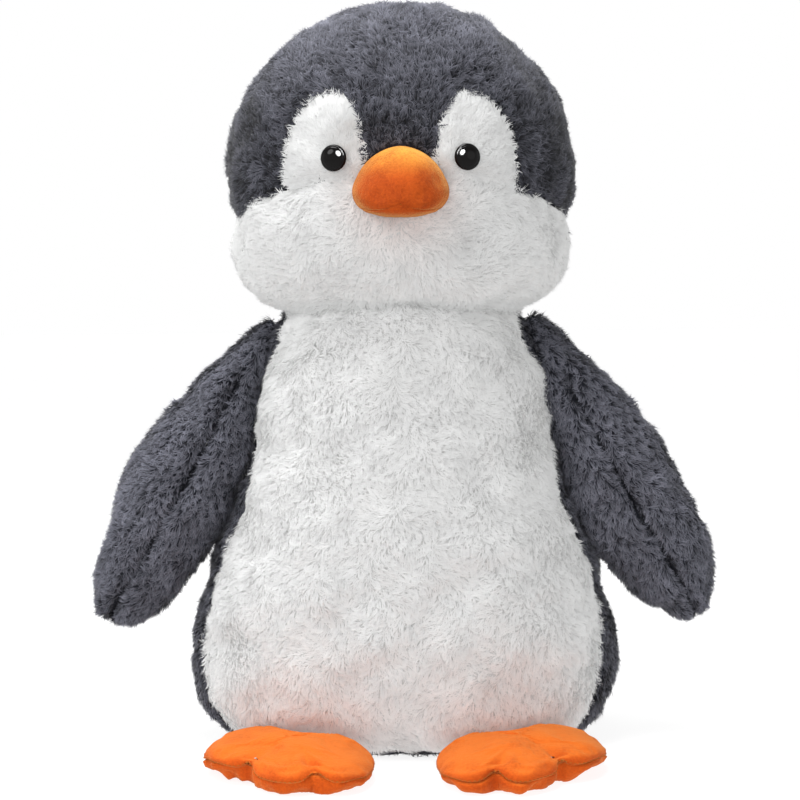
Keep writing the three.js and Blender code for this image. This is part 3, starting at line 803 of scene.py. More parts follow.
def filling(name, hollow, body, node, depth=FILLING_DEPTH, shrink=1.0):
    """The fibre inside a hollow: its grid drawn in under the cloth, at a third of the points,
    and shrunk towards its own middle."""
    rows = len(hollow.grid)
    kept = np.unique(np.r_[0:rows:3, rows - 1])
    grid = (hollow.grid - hollow.normals * depth)[kept][:, ::2]
    middle = grid.reshape(-1, 3).mean(axis=0)
    grid = middle + (grid - middle) * shrink
    piece = place(closed_mesh(name, grid), name, materials()["filling"], body)
    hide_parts(node)
    return piece


@dataclass
class Coat:
    """How a pile lies: tuft sizes, how far it leans from upright at the root and at the tip,
    and how much its heading swirls, scatters and gathers, in radians."""

    length: float
    width: float
    root_lean: float
    tip_lean: float
    swirl: float
    scatter: float
    gather: float
    tone: float
    relief: float


def coat_of(finish):
    """The coat of the slate or of the white pile."""
    pile = bpy.context.scene.penguin_pile
    sizes = getattr(pile, f"{finish}_length"), getattr(pile, f"{finish}_width")
    return Coat(*sizes, **COATS[finish])


def spread(grid, normals, count, rng):
    """Roots spread evenly by area over a grid, with their normals: each cell is drawn as often as
    its share of the area, and the place in it is bilinear."""
    a, b, c, d = grid[:-1, :-1], grid[1:, :-1], grid[1:, 1:], grid[:-1, 1:]
    area = np.linalg.norm(np.cross(c - a, d - b), axis=-1).ravel()
    share = np.cumsum(area) / area.sum()
    cell = np.searchsorted(share, (np.arange(count) + rng.random(count)) / count)
    row, column = np.divmod(np.minimum(cell, area.size - 1), grid.shape[1] - 1)
    down, across = rng.random((2, count, 1))
    corners = ((0, 0, (1 - down) * (1 - across)), (1, 0, down * (1 - across)))
    corners += ((1, 1, down * across), (0, 1, (1 - down) * across))
    points = sum(weight * grid[row + i, column + j] for i, j, weight in corners)
    facing = sum(weight * normals[row + i, column + j] for i, j, weight in corners)
    return points, unit(facing)


def area_of(grid):
    """The area of a grid: half the cross product of each cell's diagonals, summed."""
    a, b, c, d = grid[:-1, :-1], grid[1:, :-1], grid[1:, 1:], grid[:-1, 1:]
    return np.linalg.norm(np.cross(c - a, d - b), axis=-1).sum() / 2


def turned_about(vectors, axes, angles):
    """Tangent vectors turned about their own normals: v cos a + (n x v) sin a."""
    return vectors * np.cos(angles)[:, None] + np.cross(axes, vectors) * np.sin(angles)[:, None]


def pile(name, grid, normals, heading, coat, material, body, slot, seed, keep=None, density=1.0,
         trim=None, blush=None, parting=None, shade=0.0):
    """Combed pile: every tuft a thin blade of two spans that leaves its root leaning over by
    `root_lean` and ends leaning by `tip_lean`, along the heading at its root.

    The heading turns by a slow random field (swirl), by a small random angle (scatter), and the
    tips are drawn down the slope of a fine field (gather), so that they close into locks.
    `trim` gives each root's share of the pile's length. `parting` is a seam's line: within a few
    millimetres of it the pile is shorter, and darker by painted shade in the seam's groove. `shade` paints
    light or shade on the pile, all over or by place.
    """
    rng = np.random.default_rng(seed)
    per_area = bpy.context.scene.penguin_pile.density * 1e4 * density
    count = int(area_of(grid) * per_area)
    roots, up = spread(grid, normals, count, rng)
    if keep is not None:
        kept = keep(roots)
        roots, up = roots[kept], up[kept]
    count = len(roots)
    toward = heading(roots)
    toward = unit(toward - (toward * up).sum(axis=1, keepdims=True) * up)
    swirl = coat.swirl * Waves(seed + 1, 0.05, 0.16)(roots)
    swirl += coat.scatter * rng.normal(size=count)
    swirl += 0.35 * coat.swirl * Waves(seed + 2, 0.018, 0.04)(roots)
    toward = turned_about(toward, up, swirl)
    locks = Waves(seed + 3, 0.006, 0.014, 28)
    pull = locks.slope(roots)
    pull -= (pull * up).sum(axis=1, keepdims=True) * up
    pull = coat.gather * pull / np.abs(pull).std()
    toward = unit(toward - 0.25 * pull)
    tipward = unit(toward - 0.55 * pull)
    ruffle = Waves(seed + 4, 0.02, 0.06)(roots)
    length = coat.length * (1 + 0.16 * rng.normal(size=count) + 0.08 * ruffle).clip(0.5, 1.5)
    if trim is not None:
        length = length * trim(roots)
    shut = np.zeros(count)
    if parting is not None:
        # Closeness to the seam's line: it shortens the pile, and below it paints shade on the pile.
        shut = np.exp(-((distance_to(roots, parting) / (PARTING_WIDTH * MM)) ** 2))
        length = length * (1 - PARTING_DEPTH * shut)
    lean = np.stack([
        coat.root_lean + 0.10 * rng.normal(size=count) - 0.08 * ruffle,
        (coat.tip_lean + 0.10 * rng.normal(size=count) - 0.10 * ruffle).clip(None, 1.5),
    ])
    first = np.cos(lean[0])[:, None] * up + np.sin(lean[0])[:, None] * toward
    second = np.cos(lean[1])[:, None] * up + np.sin(lean[1])[:, None] * tipward
    half = (0.5 * length)[:, None]
    start = roots - 0.4 * MM * up
    middle = start + half * first
    tip = middle + half * second
    across = np.cross(up, unit(toward + tipward))
    side = unit(across + (0.3 * rng.normal(size=(count, 1))).clip(-0.4, 0.4) * up)
    breadth = (0.5 * coat.width * rng.uniform(0.7, 1.3, count))[:, None] * side
    corners = (start - breadth, start + breadth, middle - 0.8 * breadth, middle + 0.8 * breadth, tip)
    points = np.stack(corners, axis=1)
    points[..., 2] = np.maximum(points[..., 2], 0.2 * MM)
    blade = unit(np.cross(second, side))
    blade *= np.sign((blade * up).sum(axis=1, keepdims=True))
    uneven = 0.2 * coat.relief * rng.normal(size=(count, 3))
    shine = unit((1 - coat.relief) * up + coat.relief * blade + uneven)
    tone = coat.tone * (0.62 * rng.normal(size=count) + 0.38 * Waves(seed + 5, 0.02, 0.05)(roots))
    # Painted shade: darker between the locks, where the tufts part, and along a seam's parting.
    tone -= 0.35 * coat.tone * locks(roots) + PARTING_DEPTH * shut
    # Painted light and shade from `shade`.
    tone += shade(roots) if callable(shade) else shade
    # Painted bounce light: a warm tint where the beak and the feet would throw their colour.
    bounce_share = np.zeros(count) if blush is None else blush(roots)
    mesh = blades(name, points, shine, tone, bounce_share)
    return place(mesh, name, material, body)


def blades(name, points, shine, tone, bounce_share):
    """The mesh of all tufts: each a quad and a triangle over its five points, with its shading normal, and
    its `along`, `tone` and `blush` kept as attributes for the material."""
    count = len(points)
    mesh = bpy.data.meshes.new(name)
    mesh.vertices.add(count * 5)
    mesh.vertices.foreach_set("co", points.astype(np.float32).ravel())
    first = (np.arange(count) * 5)[:, None]
    corners = first + np.array([0, 2, 3, 1, 2, 4, 3])
    mesh.loops.add(count * 7)
    mesh.loops.foreach_set("vertex_index", corners.astype(np.int32).ravel())
    mesh.polygons.add(count * 2)
    starts = np.stack([np.arange(count) * 7, np.arange(count) * 7 + 4], axis=1)
    mesh.polygons.foreach_set("loop_start", starts.astype(np.int32).ravel())
    mesh.update(calc_edges=True)
    mesh.validate()
    mesh.normals_split_custom_set_from_vertices(np.repeat(shine, 5, axis=0).astype(np.float32))
    values = {
        "along": np.tile([0.0, 0.0, 0.6, 0.6, 1.0], count),
        "tone": np.repeat(tone, 5),
        "blush": np.repeat(bounce_share, 5),
    }
    for key, value in values.items():
        attribute = mesh.attributes.new(key, "FLOAT", "POINT")
        attribute.data.foreach_set("value", value.astype(np.float32))
    return mesh


def stitches(name, line, outward, material, body, slot, length, gap, thickness):
    """Stitches along a closed line: each a thin four-sided spindle between two holes, lying on
    the cloth, `length` long and a `gap` apart."""
    closed = np.concatenate([line, line[:1]])
    travel = np.r_[0, np.cumsum(np.linalg.norm(np.diff(closed, axis=0), axis=1))]
    count = int(travel[-1] / (length + gap))
    start = np.arange(count) * travel[-1] / count
    facing = np.concatenate([outward, outward[:1]])

    def along(values, at):
        return np.stack([np.interp(at, travel, column) for column in values.T], axis=1)

    up = unit(along(facing, start + length / 2))
    first, last = along(closed, start), along(closed, np.minimum(start + length, travel[-1]))
    middle = (first + last) / 2 + up * 0.3 * thickness
    across = unit(np.cross(up, last - first)) * thickness / 2
    high = up * thickness / 2
    rim = (middle + across, middle + high, middle - across, middle - high)
    points = np.stack([first, last, *rim], axis=1)
    beside = ((2, 3), (3, 4), (4, 5), (5, 2))
    sides = np.array([(0, a, b) for a, b in beside] + [(1, b, a) for a, b in beside])
    faces = (np.arange(count)[:, None, None] * 6 + sides).reshape(-1, 3)
    mesh = bpy.data.meshes.new(name)
    mesh.from_pydata(points.reshape(-1, 3).tolist(), [], faces.tolist())
    return place(mesh, name, material, body, smooth=False)


def away_from(point):
    """A heading: straight away from a point in millimetres, such as a whorl or an eye."""
    centre = np.array([point[0], AXIS_Y / MM + point[1], point[2]]) * MM
    return lambda roots: roots - centre


# ---- Materials --------------------------------------------------------------------------------


def node_group(name, inputs, outputs, build):
    """A shader node group with named inputs and outputs, made once."""
    if name in bpy.data.node_groups:
        return bpy.data.node_groups[name]
    group = bpy.data.node_groups.new(name, "ShaderNodeTree")
    for label, kind, default in inputs:
        socket = group.interface.new_socket(label, in_out="INPUT", socket_type=kind)
        socket.default_value = default
    for label, kind in outputs:
        group.interface.new_socket(label, in_out="OUTPUT", socket_type=kind)
    build(group, group.nodes.new("NodeGroupInput"), group.nodes.new("NodeGroupOutput"))
    return group


def maths(tree, operation, first, second=None, clamp=False):
    """A Math node fed by sockets or numbers; gives its output."""
    node = tree.nodes.new("ShaderNodeMath")
    node.operation = operation
    node.use_clamp = clamp
    for socket, value in zip(node.inputs, (first, second)):
        if value is None:
            continue
        if isinstance(value, (int, float)):
            socket.default_value = value
        else:
            tree.links.new(value, socket)
    return node.outputs[0]


def mixed(tree, share, first, second):
    """A colour between two, by a share."""
    node = tree.nodes.new("ShaderNodeMix")
    node.data_type = "RGBA"
    for socket, value in ((node.inputs[0], share), (node.inputs[6], first), (node.inputs[7], second)):
        if isinstance(value, bpy.types.NodeSocket):
            tree.links.new(value, socket)
        else:
            socket.default_value = value
    return node.outputs[2]


def ranged(tree, value, low, high, smooth=True, to=(0.0, 1.0)):
    """A value carried from between two bounds to between two others; gives its output."""
    node = tree.nodes.new("ShaderNodeMapRange")
    node.interpolation_type = "SMOOTHSTEP" if smooth else "LINEAR"
    bounds = {"From Min": low, "From Max": high, "To Min": to[0], "To Max": to[1]}
    for label, bound in bounds.items():
        node.inputs[label].default_value = bound
    tree.links.new(value, node.inputs["Value"])
    return node.outputs[0]


def upward(tree, kind):
    """The Z part of a Texture Coordinate output."""
    parts = tree.nodes.new("ShaderNodeSeparateXYZ")
    tree.links.new(tree.nodes.new("ShaderNodeTexCoord").outputs[kind], parts.inputs[0])
    return parts.outputs["Z"]


def noise(tree, scale, detail, roughness=0.5, distortion=0.0, stretch=(1, 1, 1)):
    """Noise on Object coordinates; gives its value."""
    place_node = tree.nodes.new("ShaderNodeTexCoord")
    mapping = tree.nodes.new("ShaderNodeMapping")
    mapping.inputs["Scale"].default_value = stretch
    texture = tree.nodes.new("ShaderNodeTexNoise")
    texture.inputs["Scale"].default_value = scale
    texture.inputs["Detail"].default_value = detail
    texture.inputs["Roughness"].default_value = roughness
    texture.inputs["Distortion"].default_value = distortion
    tree.links.new(place_node.outputs["Object"], mapping.inputs["Vector"])
    tree.links.new(mapping.outputs["Vector"], texture.inputs["Vector"])
    return texture.outputs[0]


def strand_group():
    """Strand colour: from root to tip, darker at the root as painted shade deep in the pile; lighter or
    darker by its tone, which holds random differences and painted light and shade; and tinted by painted
    bounce light.
    """

    def build(tree, given, out):
        def attribute(name):
            node = tree.nodes.new("ShaderNodeAttribute")
            node.attribute_name = name
            return node.outputs["Fac"]

        # Painted shade: the colour darkens towards the root, deep in the pile.
        rise = maths(tree, "POWER", attribute("along"), given.outputs["Rise"])
        body = mixed(tree, rise, given.outputs["Root"], given.outputs["Tip"])
        # Painted bounce light mixed in by its attribute.
        flushed = mixed(tree, attribute("blush"), body, given.outputs["Blush"])
        light = maths(tree, "ADD", attribute("tone"), 1.0)
        shade = tree.nodes.new("ShaderNodeVectorMath")
        shade.operation = "SCALE"
        tree.links.new(flushed, shade.inputs[0])
        tree.links.new(maths(tree, "MAXIMUM", light, 0.15), shade.inputs["Scale"])
        tree.links.new(shade.outputs[0], out.inputs["Colour"])

    inputs = (
        ("Root", "NodeSocketColor", (0, 0, 0, 1)),
        ("Tip", "NodeSocketColor", (1, 1, 1, 1)),
        ("Blush", "NodeSocketColor", (1, 0.5, 0.4, 1)),
        ("Rise", "NodeSocketFloat", 1.0),
    )
    return node_group("Strand colour", inputs, (("Colour", "NodeSocketColor"),), build)


def fuzz_group():
    """Fuzz: a colour mottled between two, and a fine height, for cloth seen between tufts."""

    def build(tree, given, out):
        mottled = mixed(tree, noise(tree, 90, 4, 0.6), given.outputs["Dark"], given.outputs["Light"])
        tree.links.new(mottled, out.inputs["Colour"])
        tree.links.new(noise(tree, 900, 3, 0.7), out.inputs["Height"])

    inputs = (("Dark", "NodeSocketColor", (0, 0, 0, 1)), ("Light", "NodeSocketColor", (1, 1, 1, 1)))
    outputs = (("Colour", "NodeSocketColor"), ("Height", "NodeSocketFloat"))
    return node_group("Fuzz", inputs, outputs, build)


def velour_group():
    """Velour: brushed patches between two colours, lighter where the cloth faces up as a painted sheen of
    light from above, and the fine height of the nap."""

    def build(tree, given, out):
        patches = noise(tree, 34, 3, 0.55, 0.6, (1, 1, 0.55))
        grain = noise(tree, 430, 3, 0.75)
        halves = [maths(tree, "MULTIPLY", part, 0.5) for part in (patches, grain)]
        brushed = ranged(tree, maths(tree, "ADD", *halves), 0.36, 0.62, smooth=False)
        colour = mixed(tree, brushed, given.outputs["Shade"], given.outputs["Light"])
        # Painted sheen: lighter where the cloth faces up.
        painted_sheen = ranged(tree, upward(tree, "Normal"), 0.35, 1.0)
        lit = maths(tree, "MULTIPLY", painted_sheen, maths(tree, "ADD", brushed, 0.35), True)
        tree.links.new(mixed(tree, lit, colour, given.outputs["Crest"]), out.inputs["Colour"])
        nap = maths(tree, "ADD", noise(tree, 1500, 2, 0.6), maths(tree, "MULTIPLY", grain, 1.4))
        tree.links.new(nap, out.inputs["Height"])

    inputs = (
        ("Shade", "NodeSocketColor", (0, 0, 0, 1)),
        ("Light", "NodeSocketColor", (1, 1, 1, 1)),
        ("Crest", "NodeSocketColor", (1, 1, 1, 1)),
    )
    outputs = (("Colour", "NodeSocketColor"), ("Height", "NodeSocketFloat"))
    return node_group("Velour nap", inputs, outputs, build)


def base_material(name, roughness, **sockets):
    """A material with its Principled shader's plain values set on its own sockets."""
    material = bpy.data.materials.new(name)
    material.use_nodes = True
    shader = material.node_tree.nodes["Principled BSDF"]
    shader.inputs["Roughness"].default_value = roughness
    for label, value in sockets.items():
        shader.inputs[label.replace("_", " ")].default_value = value
    return material, material.node_tree, shader


def with_group(tree, group, values):
    """A group placed in a material with its own values."""
    node = tree.nodes.new("ShaderNodeGroup")
    node.node_tree = group
    for label, value in values.items():
        node.inputs[label].default_value = value
    return node


def bumped(tree, height, shader, strength, distance):
    """Feeds a height to the shader's normal, through a Bump node."""
    bump = tree.nodes.new("ShaderNodeBump")
    bump.inputs["Strength"].default_value = strength
    bump.inputs["Distance"].default_value = distance
    tree.links.new(height, bump.inputs["Height"])
    tree.links.new(bump.outputs["Normal"], shader.inputs["Normal"])


def opaque(colour):
    """The colour with an alpha of 1."""
    return (*colour, 1.0)


def strand_material(name, root, tip, blush, rise, sheen, glow):
    """`glow` is the light that white fibres pass on to each other, as an emission strength
    on the far side of a tuft; the near side gives off a third of it."""
    material, tree, shader = base_material(
        name, 0.85, Sheen_Weight=sheen, Sheen_Roughness=0.45, Specular_IOR_Level=0.18,
        Emission_Color=(1, 1, 1, 1), Emission_Strength=glow,
    )
    if glow > 0:
        seen = tree.nodes.new("ShaderNodeNewGeometry").outputs["Backfacing"]
        passed = mixed(tree, seen, (0.3, 0.3, 0.3, 1), (1, 1, 1, 1))
        tree.links.new(passed, shader.inputs["Emission Color"])
    values = {"Root": opaque(root), "Tip": opaque(tip), "Blush": opaque(blush), "Rise": rise}
    node = with_group(tree, strand_group(), values)
    tree.links.new(node.outputs["Colour"], shader.inputs["Base Color"])
    return material


def backing_material(name, dark, light):
    """Matt cloth or fibre, mottled between a dark and a light colour."""
    material, tree, shader = base_material(name, 0.95, Specular_IOR_Level=0.1)
    node = with_group(tree, fuzz_group(), {"Dark": opaque(dark), "Light": opaque(light)})
    tree.links.new(node.outputs["Colour"], shader.inputs["Base Color"])
    bumped(tree, node.outputs["Height"], shader, 0.6, 0.0008)
    return material


def velour_material(name, shade, light, painted_sheen, sheen):
    """Short brushed nap: `shade` and `light` where it lies each way, and `painted_sheen`, a painted sheen
    where it faces up.
    """
    material, tree, shader = base_material(
        name, 0.8, Sheen_Weight=sheen, Sheen_Roughness=0.32, Specular_IOR_Level=0.12,
        Sheen_Tint=(1.0, 0.66, 0.22, 1.0),
    )
    values = {"Shade": opaque(shade), "Light": opaque(light), "Crest": opaque(painted_sheen)}
    node = with_group(tree, velour_group(), values)
    tree.links.new(node.outputs["Colour"], shader.inputs["Base Color"])
    bumped(tree, node.outputs["Height"], shader, 0.7, 0.0008)
    return material


def plastic_material(name, colour, roughness, gloss):
    """Moulded plastic, very slightly uneven."""
    material, tree, shader = base_material(name, roughness, Specular_IOR_Level=gloss)
    shader.inputs["Base Color"].default_value = opaque(colour)
    bumped(tree, noise(tree, 60, 2), shader, 0.02, 0.0004)
    return material


@lru_cache(maxsize=None)
def materials():
    """Every material of the penguin, by name."""
    colours = bpy.context.scene.penguin_colours

    def times(share, colour):
        return tuple(share * value for value in colour)

    white_dark = times(0.8, colours.white_root)
    # Painted shade: the beak's velour is the feet's orange made darker.
    beak_light = times(0.68, colours.orange)
    beak_shade = times(0.60, colours.orange_shade)
    beak_painted_sheen = times(0.8, colours.painted_sheen)
    # The feet get only a little of the painted sheen.
    painted_sheen = tuple(0.85 * a + 0.15 * b for a, b in zip(colours.orange, colours.painted_sheen))
    return {
        "slate_pile": strand_material(
            "Slate pile", colours.slate_root, colours.slate_tip, blush=(0.08, 0.05, 0.05),
            rise=1.9, sheen=0.2, glow=0.0,
        ),
        "white_pile": strand_material(
            "White pile", colours.white_root, colours.white_tip, blush=(0.85, 0.52, 0.42),
            rise=0.7, sheen=0.1, glow=0.26,
        ),
        "slate_cloth": backing_material("Slate backing", colours.slate_root, (0.03, 0.031, 0.04)),
        "white_cloth": backing_material("White backing", white_dark, colours.white_root),
        "velour": velour_material("Orange velour", colours.orange_shade, colours.orange, painted_sheen, sheen=0.4),
        "beak": velour_material("Beak velour", beak_shade, beak_light, beak_painted_sheen, sheen=0.7),
        "thread": backing_material("Thread", colours.thread, times(1.4, colours.thread)),
        "filling": backing_material("Fibre filling", (0.7, 0.69, 0.66), (0.9, 0.9, 0.87)),
        "eye": plastic_material("Eye plastic", colours.eye, roughness=0.05, gloss=0.12),
        "washer": plastic_material("Washer plastic", (0.68, 0.66, 0.6), roughness=0.45, gloss=0.5),
    }


# ---- Operators --------------------------------------------------------------------------------


class PENGUIN_OT_head(bpy.types.Operator):
    """Sews the head: crown, cheeks, eye patches, their pile and the filling"""

    bl_idname = "penguin.head"
    bl_label = "Head"

    def execute(self, context):
        cloth = context.scene.penguin_cloth
        kit = materials()
        head = head_form()
        grid, mark = head.grid, head.marks
        rear_end = grid.shape[1]
        blocks = {
            "crown_front": ((0, mark["cheek"]), (0, mark["left"]), "slate"),
            "crown_back_left": ((0, mark["neck"]), (mark["left"], mark["rear"]), "slate"),
            "crown_back_right": ((0, mark["neck"]), (mark["rear"], rear_end), "slate"),
            "cheek_panel": ((mark["cheek"], mark["neck"]), (0, mark["left"]), "white"),
        }
        patch = closed_curve(EYE_PATCH, OUTLINE_POINTS) * MM
        other_half = [(-x, z) for x, z in BEAK_OUTLINE[1:-1][::-1]]
        beak = closed_curve([*BEAK_OUTLINE, *other_half], OUTLINE_POINTS)
        beak = beak * MM * np.array([BEAK_ROOT, 1])

        def bare(roots):
            """Where no pile grows: under the eye patches and the beak."""
            front = roots[:, 1] < AXIS_Y
            x, z = roots[:, 0], roots[:, 2]
            return front & (inside(patch, np.abs(x), z) | inside(beak, x, z))

        def in_front(roots):
            """1 on the face, fading to 0 towards the sides of the head."""
            return smoothstep(0.08, 0.12, AXIS_Y - roots[:, 1])

        def clipped(roots):
            """Shorter pile round the beak: by 0.45 * exp(-(distance / 60 mm) ** 2)."""
            reach = np.hypot(roots[:, 0], roots[:, 2] - BEAK_MIDDLE_Z * MM)
            return 1 - 0.45 * in_front(roots) * np.exp(-((reach / 0.06) ** 2))

        def flushed(roots):
            """Painted bounce light from the orange beak on the pile round it: 0.14 * exp(-(distance / 52
            mm) ** 4).
            """
            reach = np.hypot(roots[:, 0] / 1.1, roots[:, 2] - (BEAK_MIDDLE_Z - 8) * MM)
            return 0.14 * in_front(roots) * np.exp(-((reach / 0.052) ** 4))

        def painted_crown_light(roots):
            """Painted light and shade: lighter towards the top of the head, as lit from above, and darker
            at its sides.
            """
            sides = smoothstep(0.09, 0.16, np.abs(roots[:, 0]))
            return 0.42 * smoothstep(0.60, 0.73, roots[:, 2]) - 0.40 - 0.16 * sides

        def combed(roots):
            """Away from the beak in front, and down from the crown behind."""
            behind = smoothstep(AXIS_Y - 0.01, AXIS_Y + 0.09, roots[:, 1])[:, None]
            over = unit(away_from((0, -170, 565))(roots))
            return over * (1 - behind) + unit(away_from((0, -10, 820))(roots)) * behind

        for seed, (name, (rows, columns, finish)) in enumerate(blocks.items()):
            cells, facing = head.part(rows, columns)
            slot = f"{finish}_plush"
            density = TUFTS["face"] if columns[0] == 0 else TUFTS["head_back"]
            # Painted light and shade: the crown's pile lit from above, the cheeks' pile darkened
            painted_shading = painted_crown_light if finish == "slate" else CHEEK_PAINTED_SHADE
            panel(f"{name}_cloth", cells, kit[f"{finish}_cloth"], "head", cloth.cloth, (name,))
            pile(
                f"{name}_pile", cells, facing, combed, coat_of(finish), kit[f"{finish}_pile"], "head",
                slot, SEEDS["head"] + 10 * seed, keep=lambda roots: ~bare(roots), density=density,
                trim=clipped, blush=flushed, shade=painted_shading,
            )
        for side, sign in SIDES.items():
            self.eye_patch(side, sign, patch, grid, kit, cloth)
        filling("head_filling", head, "head", "head_stuffing")
        for side in SIDES:
            washer = frame["nodes"][f"eye_washer_{side}"]
            washer.data.materials.clear()
            washer.data.materials.append(kit["washer"])
        return {"FINISHED"}

    def eye_patch(self, side, sign, outline, head_grid, kit, cloth):
        """A patch laid on the crown: its outline shrunk towards its middle, ring by ring."""
        middle = np.array(EYE_PATCH_MIDDLE) * MM
        share = np.linspace(0, 1, PATCH_RINGS)[:, None, None]
        flat = middle + (outline[::-1] - middle) * share
        seam = np.interp(flat[..., 0], *(np.array(CHEEK_SEAM).T * MM))
        flat[..., 1] = np.maximum(flat[..., 1], seam - 2 * MM)
        rings = on_face(head_grid, sign * flat[..., 0], flat[..., 1])
        rings[..., 1] -= 1.6 * MM * (1 - share[..., 0] ** 6) + 0.2 * MM
        if sign < 0:
            rings = rings[:, ::-1]
        facing = normals_of(rings)
        closed = np.concatenate([rings, rings[:, :1]], axis=1)
        facing = np.concatenate([facing, facing[:, :1]], axis=1)
        name = f"eye_patch_{side}"
        thickness = THIN * cloth.cloth
        panel(f"{name}_cloth", closed, kit["white_cloth"], "head", thickness, (name,))
        coat = coat_of("white")
        coat.length *= PATCH_COAT[0]
        coat.swirl *= PATCH_COAT[1]

        def from_eye(roots):
            """Distance from the middle of the eye, seen from in front."""
            return np.hypot(roots[:, 0] - sign * EYE[0] * MM, roots[:, 2] - EYE[1] * MM)

        def keep(roots):
            return from_eye(roots) > EYE_CLEARING * MM

        def trim(roots):
            return 0.5 + 0.5 * smoothstep(0.012, 0.032, from_eye(roots))

        # Painted shade: the eye patches' white pile made darker than the cheeks'.
        pile(
            f"{name}_pile", closed, facing, away_from((sign * 46, -150, 580)), coat, kit["white_pile"],
            "head", "white_plush", SEEDS[f"patch_{side}"], keep=keep, density=TUFTS["patch"],
            trim=trim, shade=PATCH_PAINTED_SHADE,
        )


class PENGUIN_OT_eyes(bpy.types.Operator):
    """Turns the two glossy safety eyes with their moulded ring and shank"""

    bl_idname = "penguin.eyes"
    bl_label = "Eyes"

    def execute(self, context):
        profile = np.array(EYE_PROFILE)
        turn = np.linspace(0, 2 * math.pi, EYE_SIDES, endpoint=False)
        radius = profile[:, :1] * EYE_RADIUS
        ring = np.stack([radius * np.cos(turn), -profile[:, 1:] + 0 * turn, radius * np.sin(turn)], axis=-1)
        for side, sign in SIDES.items():
            middle = on_face(head_form().grid, np.array([sign * EYE[0] * MM]), np.array([EYE[1] * MM]))[0]
            middle = middle - np.array([0, EYE_FORWARD * MM, 0])
            cosine, sine = math.cos(sign * EYE_TURN), math.sin(sign * EYE_TURN)
            about_z = np.array([[cosine, -sine, 0], [sine, cosine, 0], [0, 0, 1]])
            grid = middle + (ring * MM) @ about_z.T
            mesh = closed_mesh(f"eye_{side}_dome", grid[:, ::-1])
            dome = place(mesh, f"eye_{side}_dome", materials()["eye"], "head")
            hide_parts(f"eye_{side}")
        return {"FINISHED"}


class PENGUIN_OT_beak(bpy.types.Operator):
    """Sews the velour beak from its upper and lower panels"""

    bl_idname = "penguin.beak"
    bl_label = "Beak"

    def execute(self, context):
        cloth = context.scene.penguin_cloth
        beak = beak_form()
        start, stop, root = (beak.marks[key] for key in ("start", "stop", "root"))
        columns = beak.grid.shape[1]
        parts = {"beak_lower": (start, stop), "beak_upper": (stop, start + columns)}
        for name, span in parts.items():
            cells = block(beak.grid, (0, root), span)
            panel(f"{name}_cloth", cells, materials()["beak"], "head", cloth.velour, (name,))
        filling("beak_filling", beak, "head", "beak_stuffing", 2.4 * MM)
        return {"FINISHED"}


class PENGUIN_OT_body(bpy.types.Operator):
    """Sews the body: belly, back panels and base, their pile and the filling"""

    bl_idname = "penguin.body"
    bl_label = "Body"

    def execute(self, context):
        cloth = context.scene.penguin_cloth
        kit = materials()
        body = body_form()
        grid, mark = body.grid, body.marks
        end = grid.shape[1]
        half = (mark["neck"] + mark["base"]) // 2
        side = (mark["neck"], mark["base"])
        cloths = {
            "belly_panel": (side, (0, mark["left"]), "white"),
            "back_panel_left": (side, (mark["left"], mark["rear"]), "slate"),
            "back_panel_right": (side, (mark["rear"], end), "slate"),
            "base_panel": ((mark["base"], mark["end"]), (0, end), "slate"),
        }
        for name, (rows, columns, finish) in cloths.items():
            cells = block(grid, rows, columns)
            thickness = cloth.cloth if name != "base_panel" else THIN * cloth.cloth
            panel(f"{name}_cloth", cells, kit[f"{finish}_cloth"], "torso", thickness, (name,))
        coats = {
            "belly_upper": ((mark["neck"], half), (0, mark["left"]), "white", TUFTS["belly"]),
            "belly_lower": ((half, mark["base"]), (0, mark["left"]), "white", TUFTS["belly"]),
            "back_left": (side, (mark["left"], mark["rear"]), "slate", TUFTS["back"]),
            "back_right": (side, (mark["rear"], end), "slate", TUFTS["back"]),
        }
        feet = np.array([[sign * 108 * MM, AXIS_Y - 150 * MM, 20 * MM] for sign in SIDES.values()])

        def flushed(roots):
            """Painted bounce light from each orange foot on the belly pile: 0.13 * exp(-(distance / 72 mm)
            ** 2).
            """
            reach = distance_to(roots * np.array([0.8, 1, 1]), feet * np.array([0.8, 1, 1]))
            return 0.13 * np.exp(-((reach / 0.072) ** 2))

        for seed, (name, (rows, columns, finish, density)) in enumerate(coats.items()):
            pile(
                f"{name}_pile", *body.part(rows, columns), away_from((0, 0, 900)), coat_of(finish),
                kit[f"{finish}_pile"], "torso", f"{finish}_plush", SEEDS["body"] + 10 * seed,
                density=density, blush=flushed,
            )
        coat = coat_of("slate")
        coat.root_lean, coat.tip_lean = BASE_LEANS
        base = (mark["base"], mark["end"])
        pile(
            "base_pile", *body.part(base, (0, end)), away_from((0, 300, 0)), coat, kit["slate_pile"],
            "torso", "slate_plush", SEEDS["base"], density=TUFTS["base"],
        )
        filling("body_filling", body, "torso", "body_stuffing")
        return {"FINISHED"}


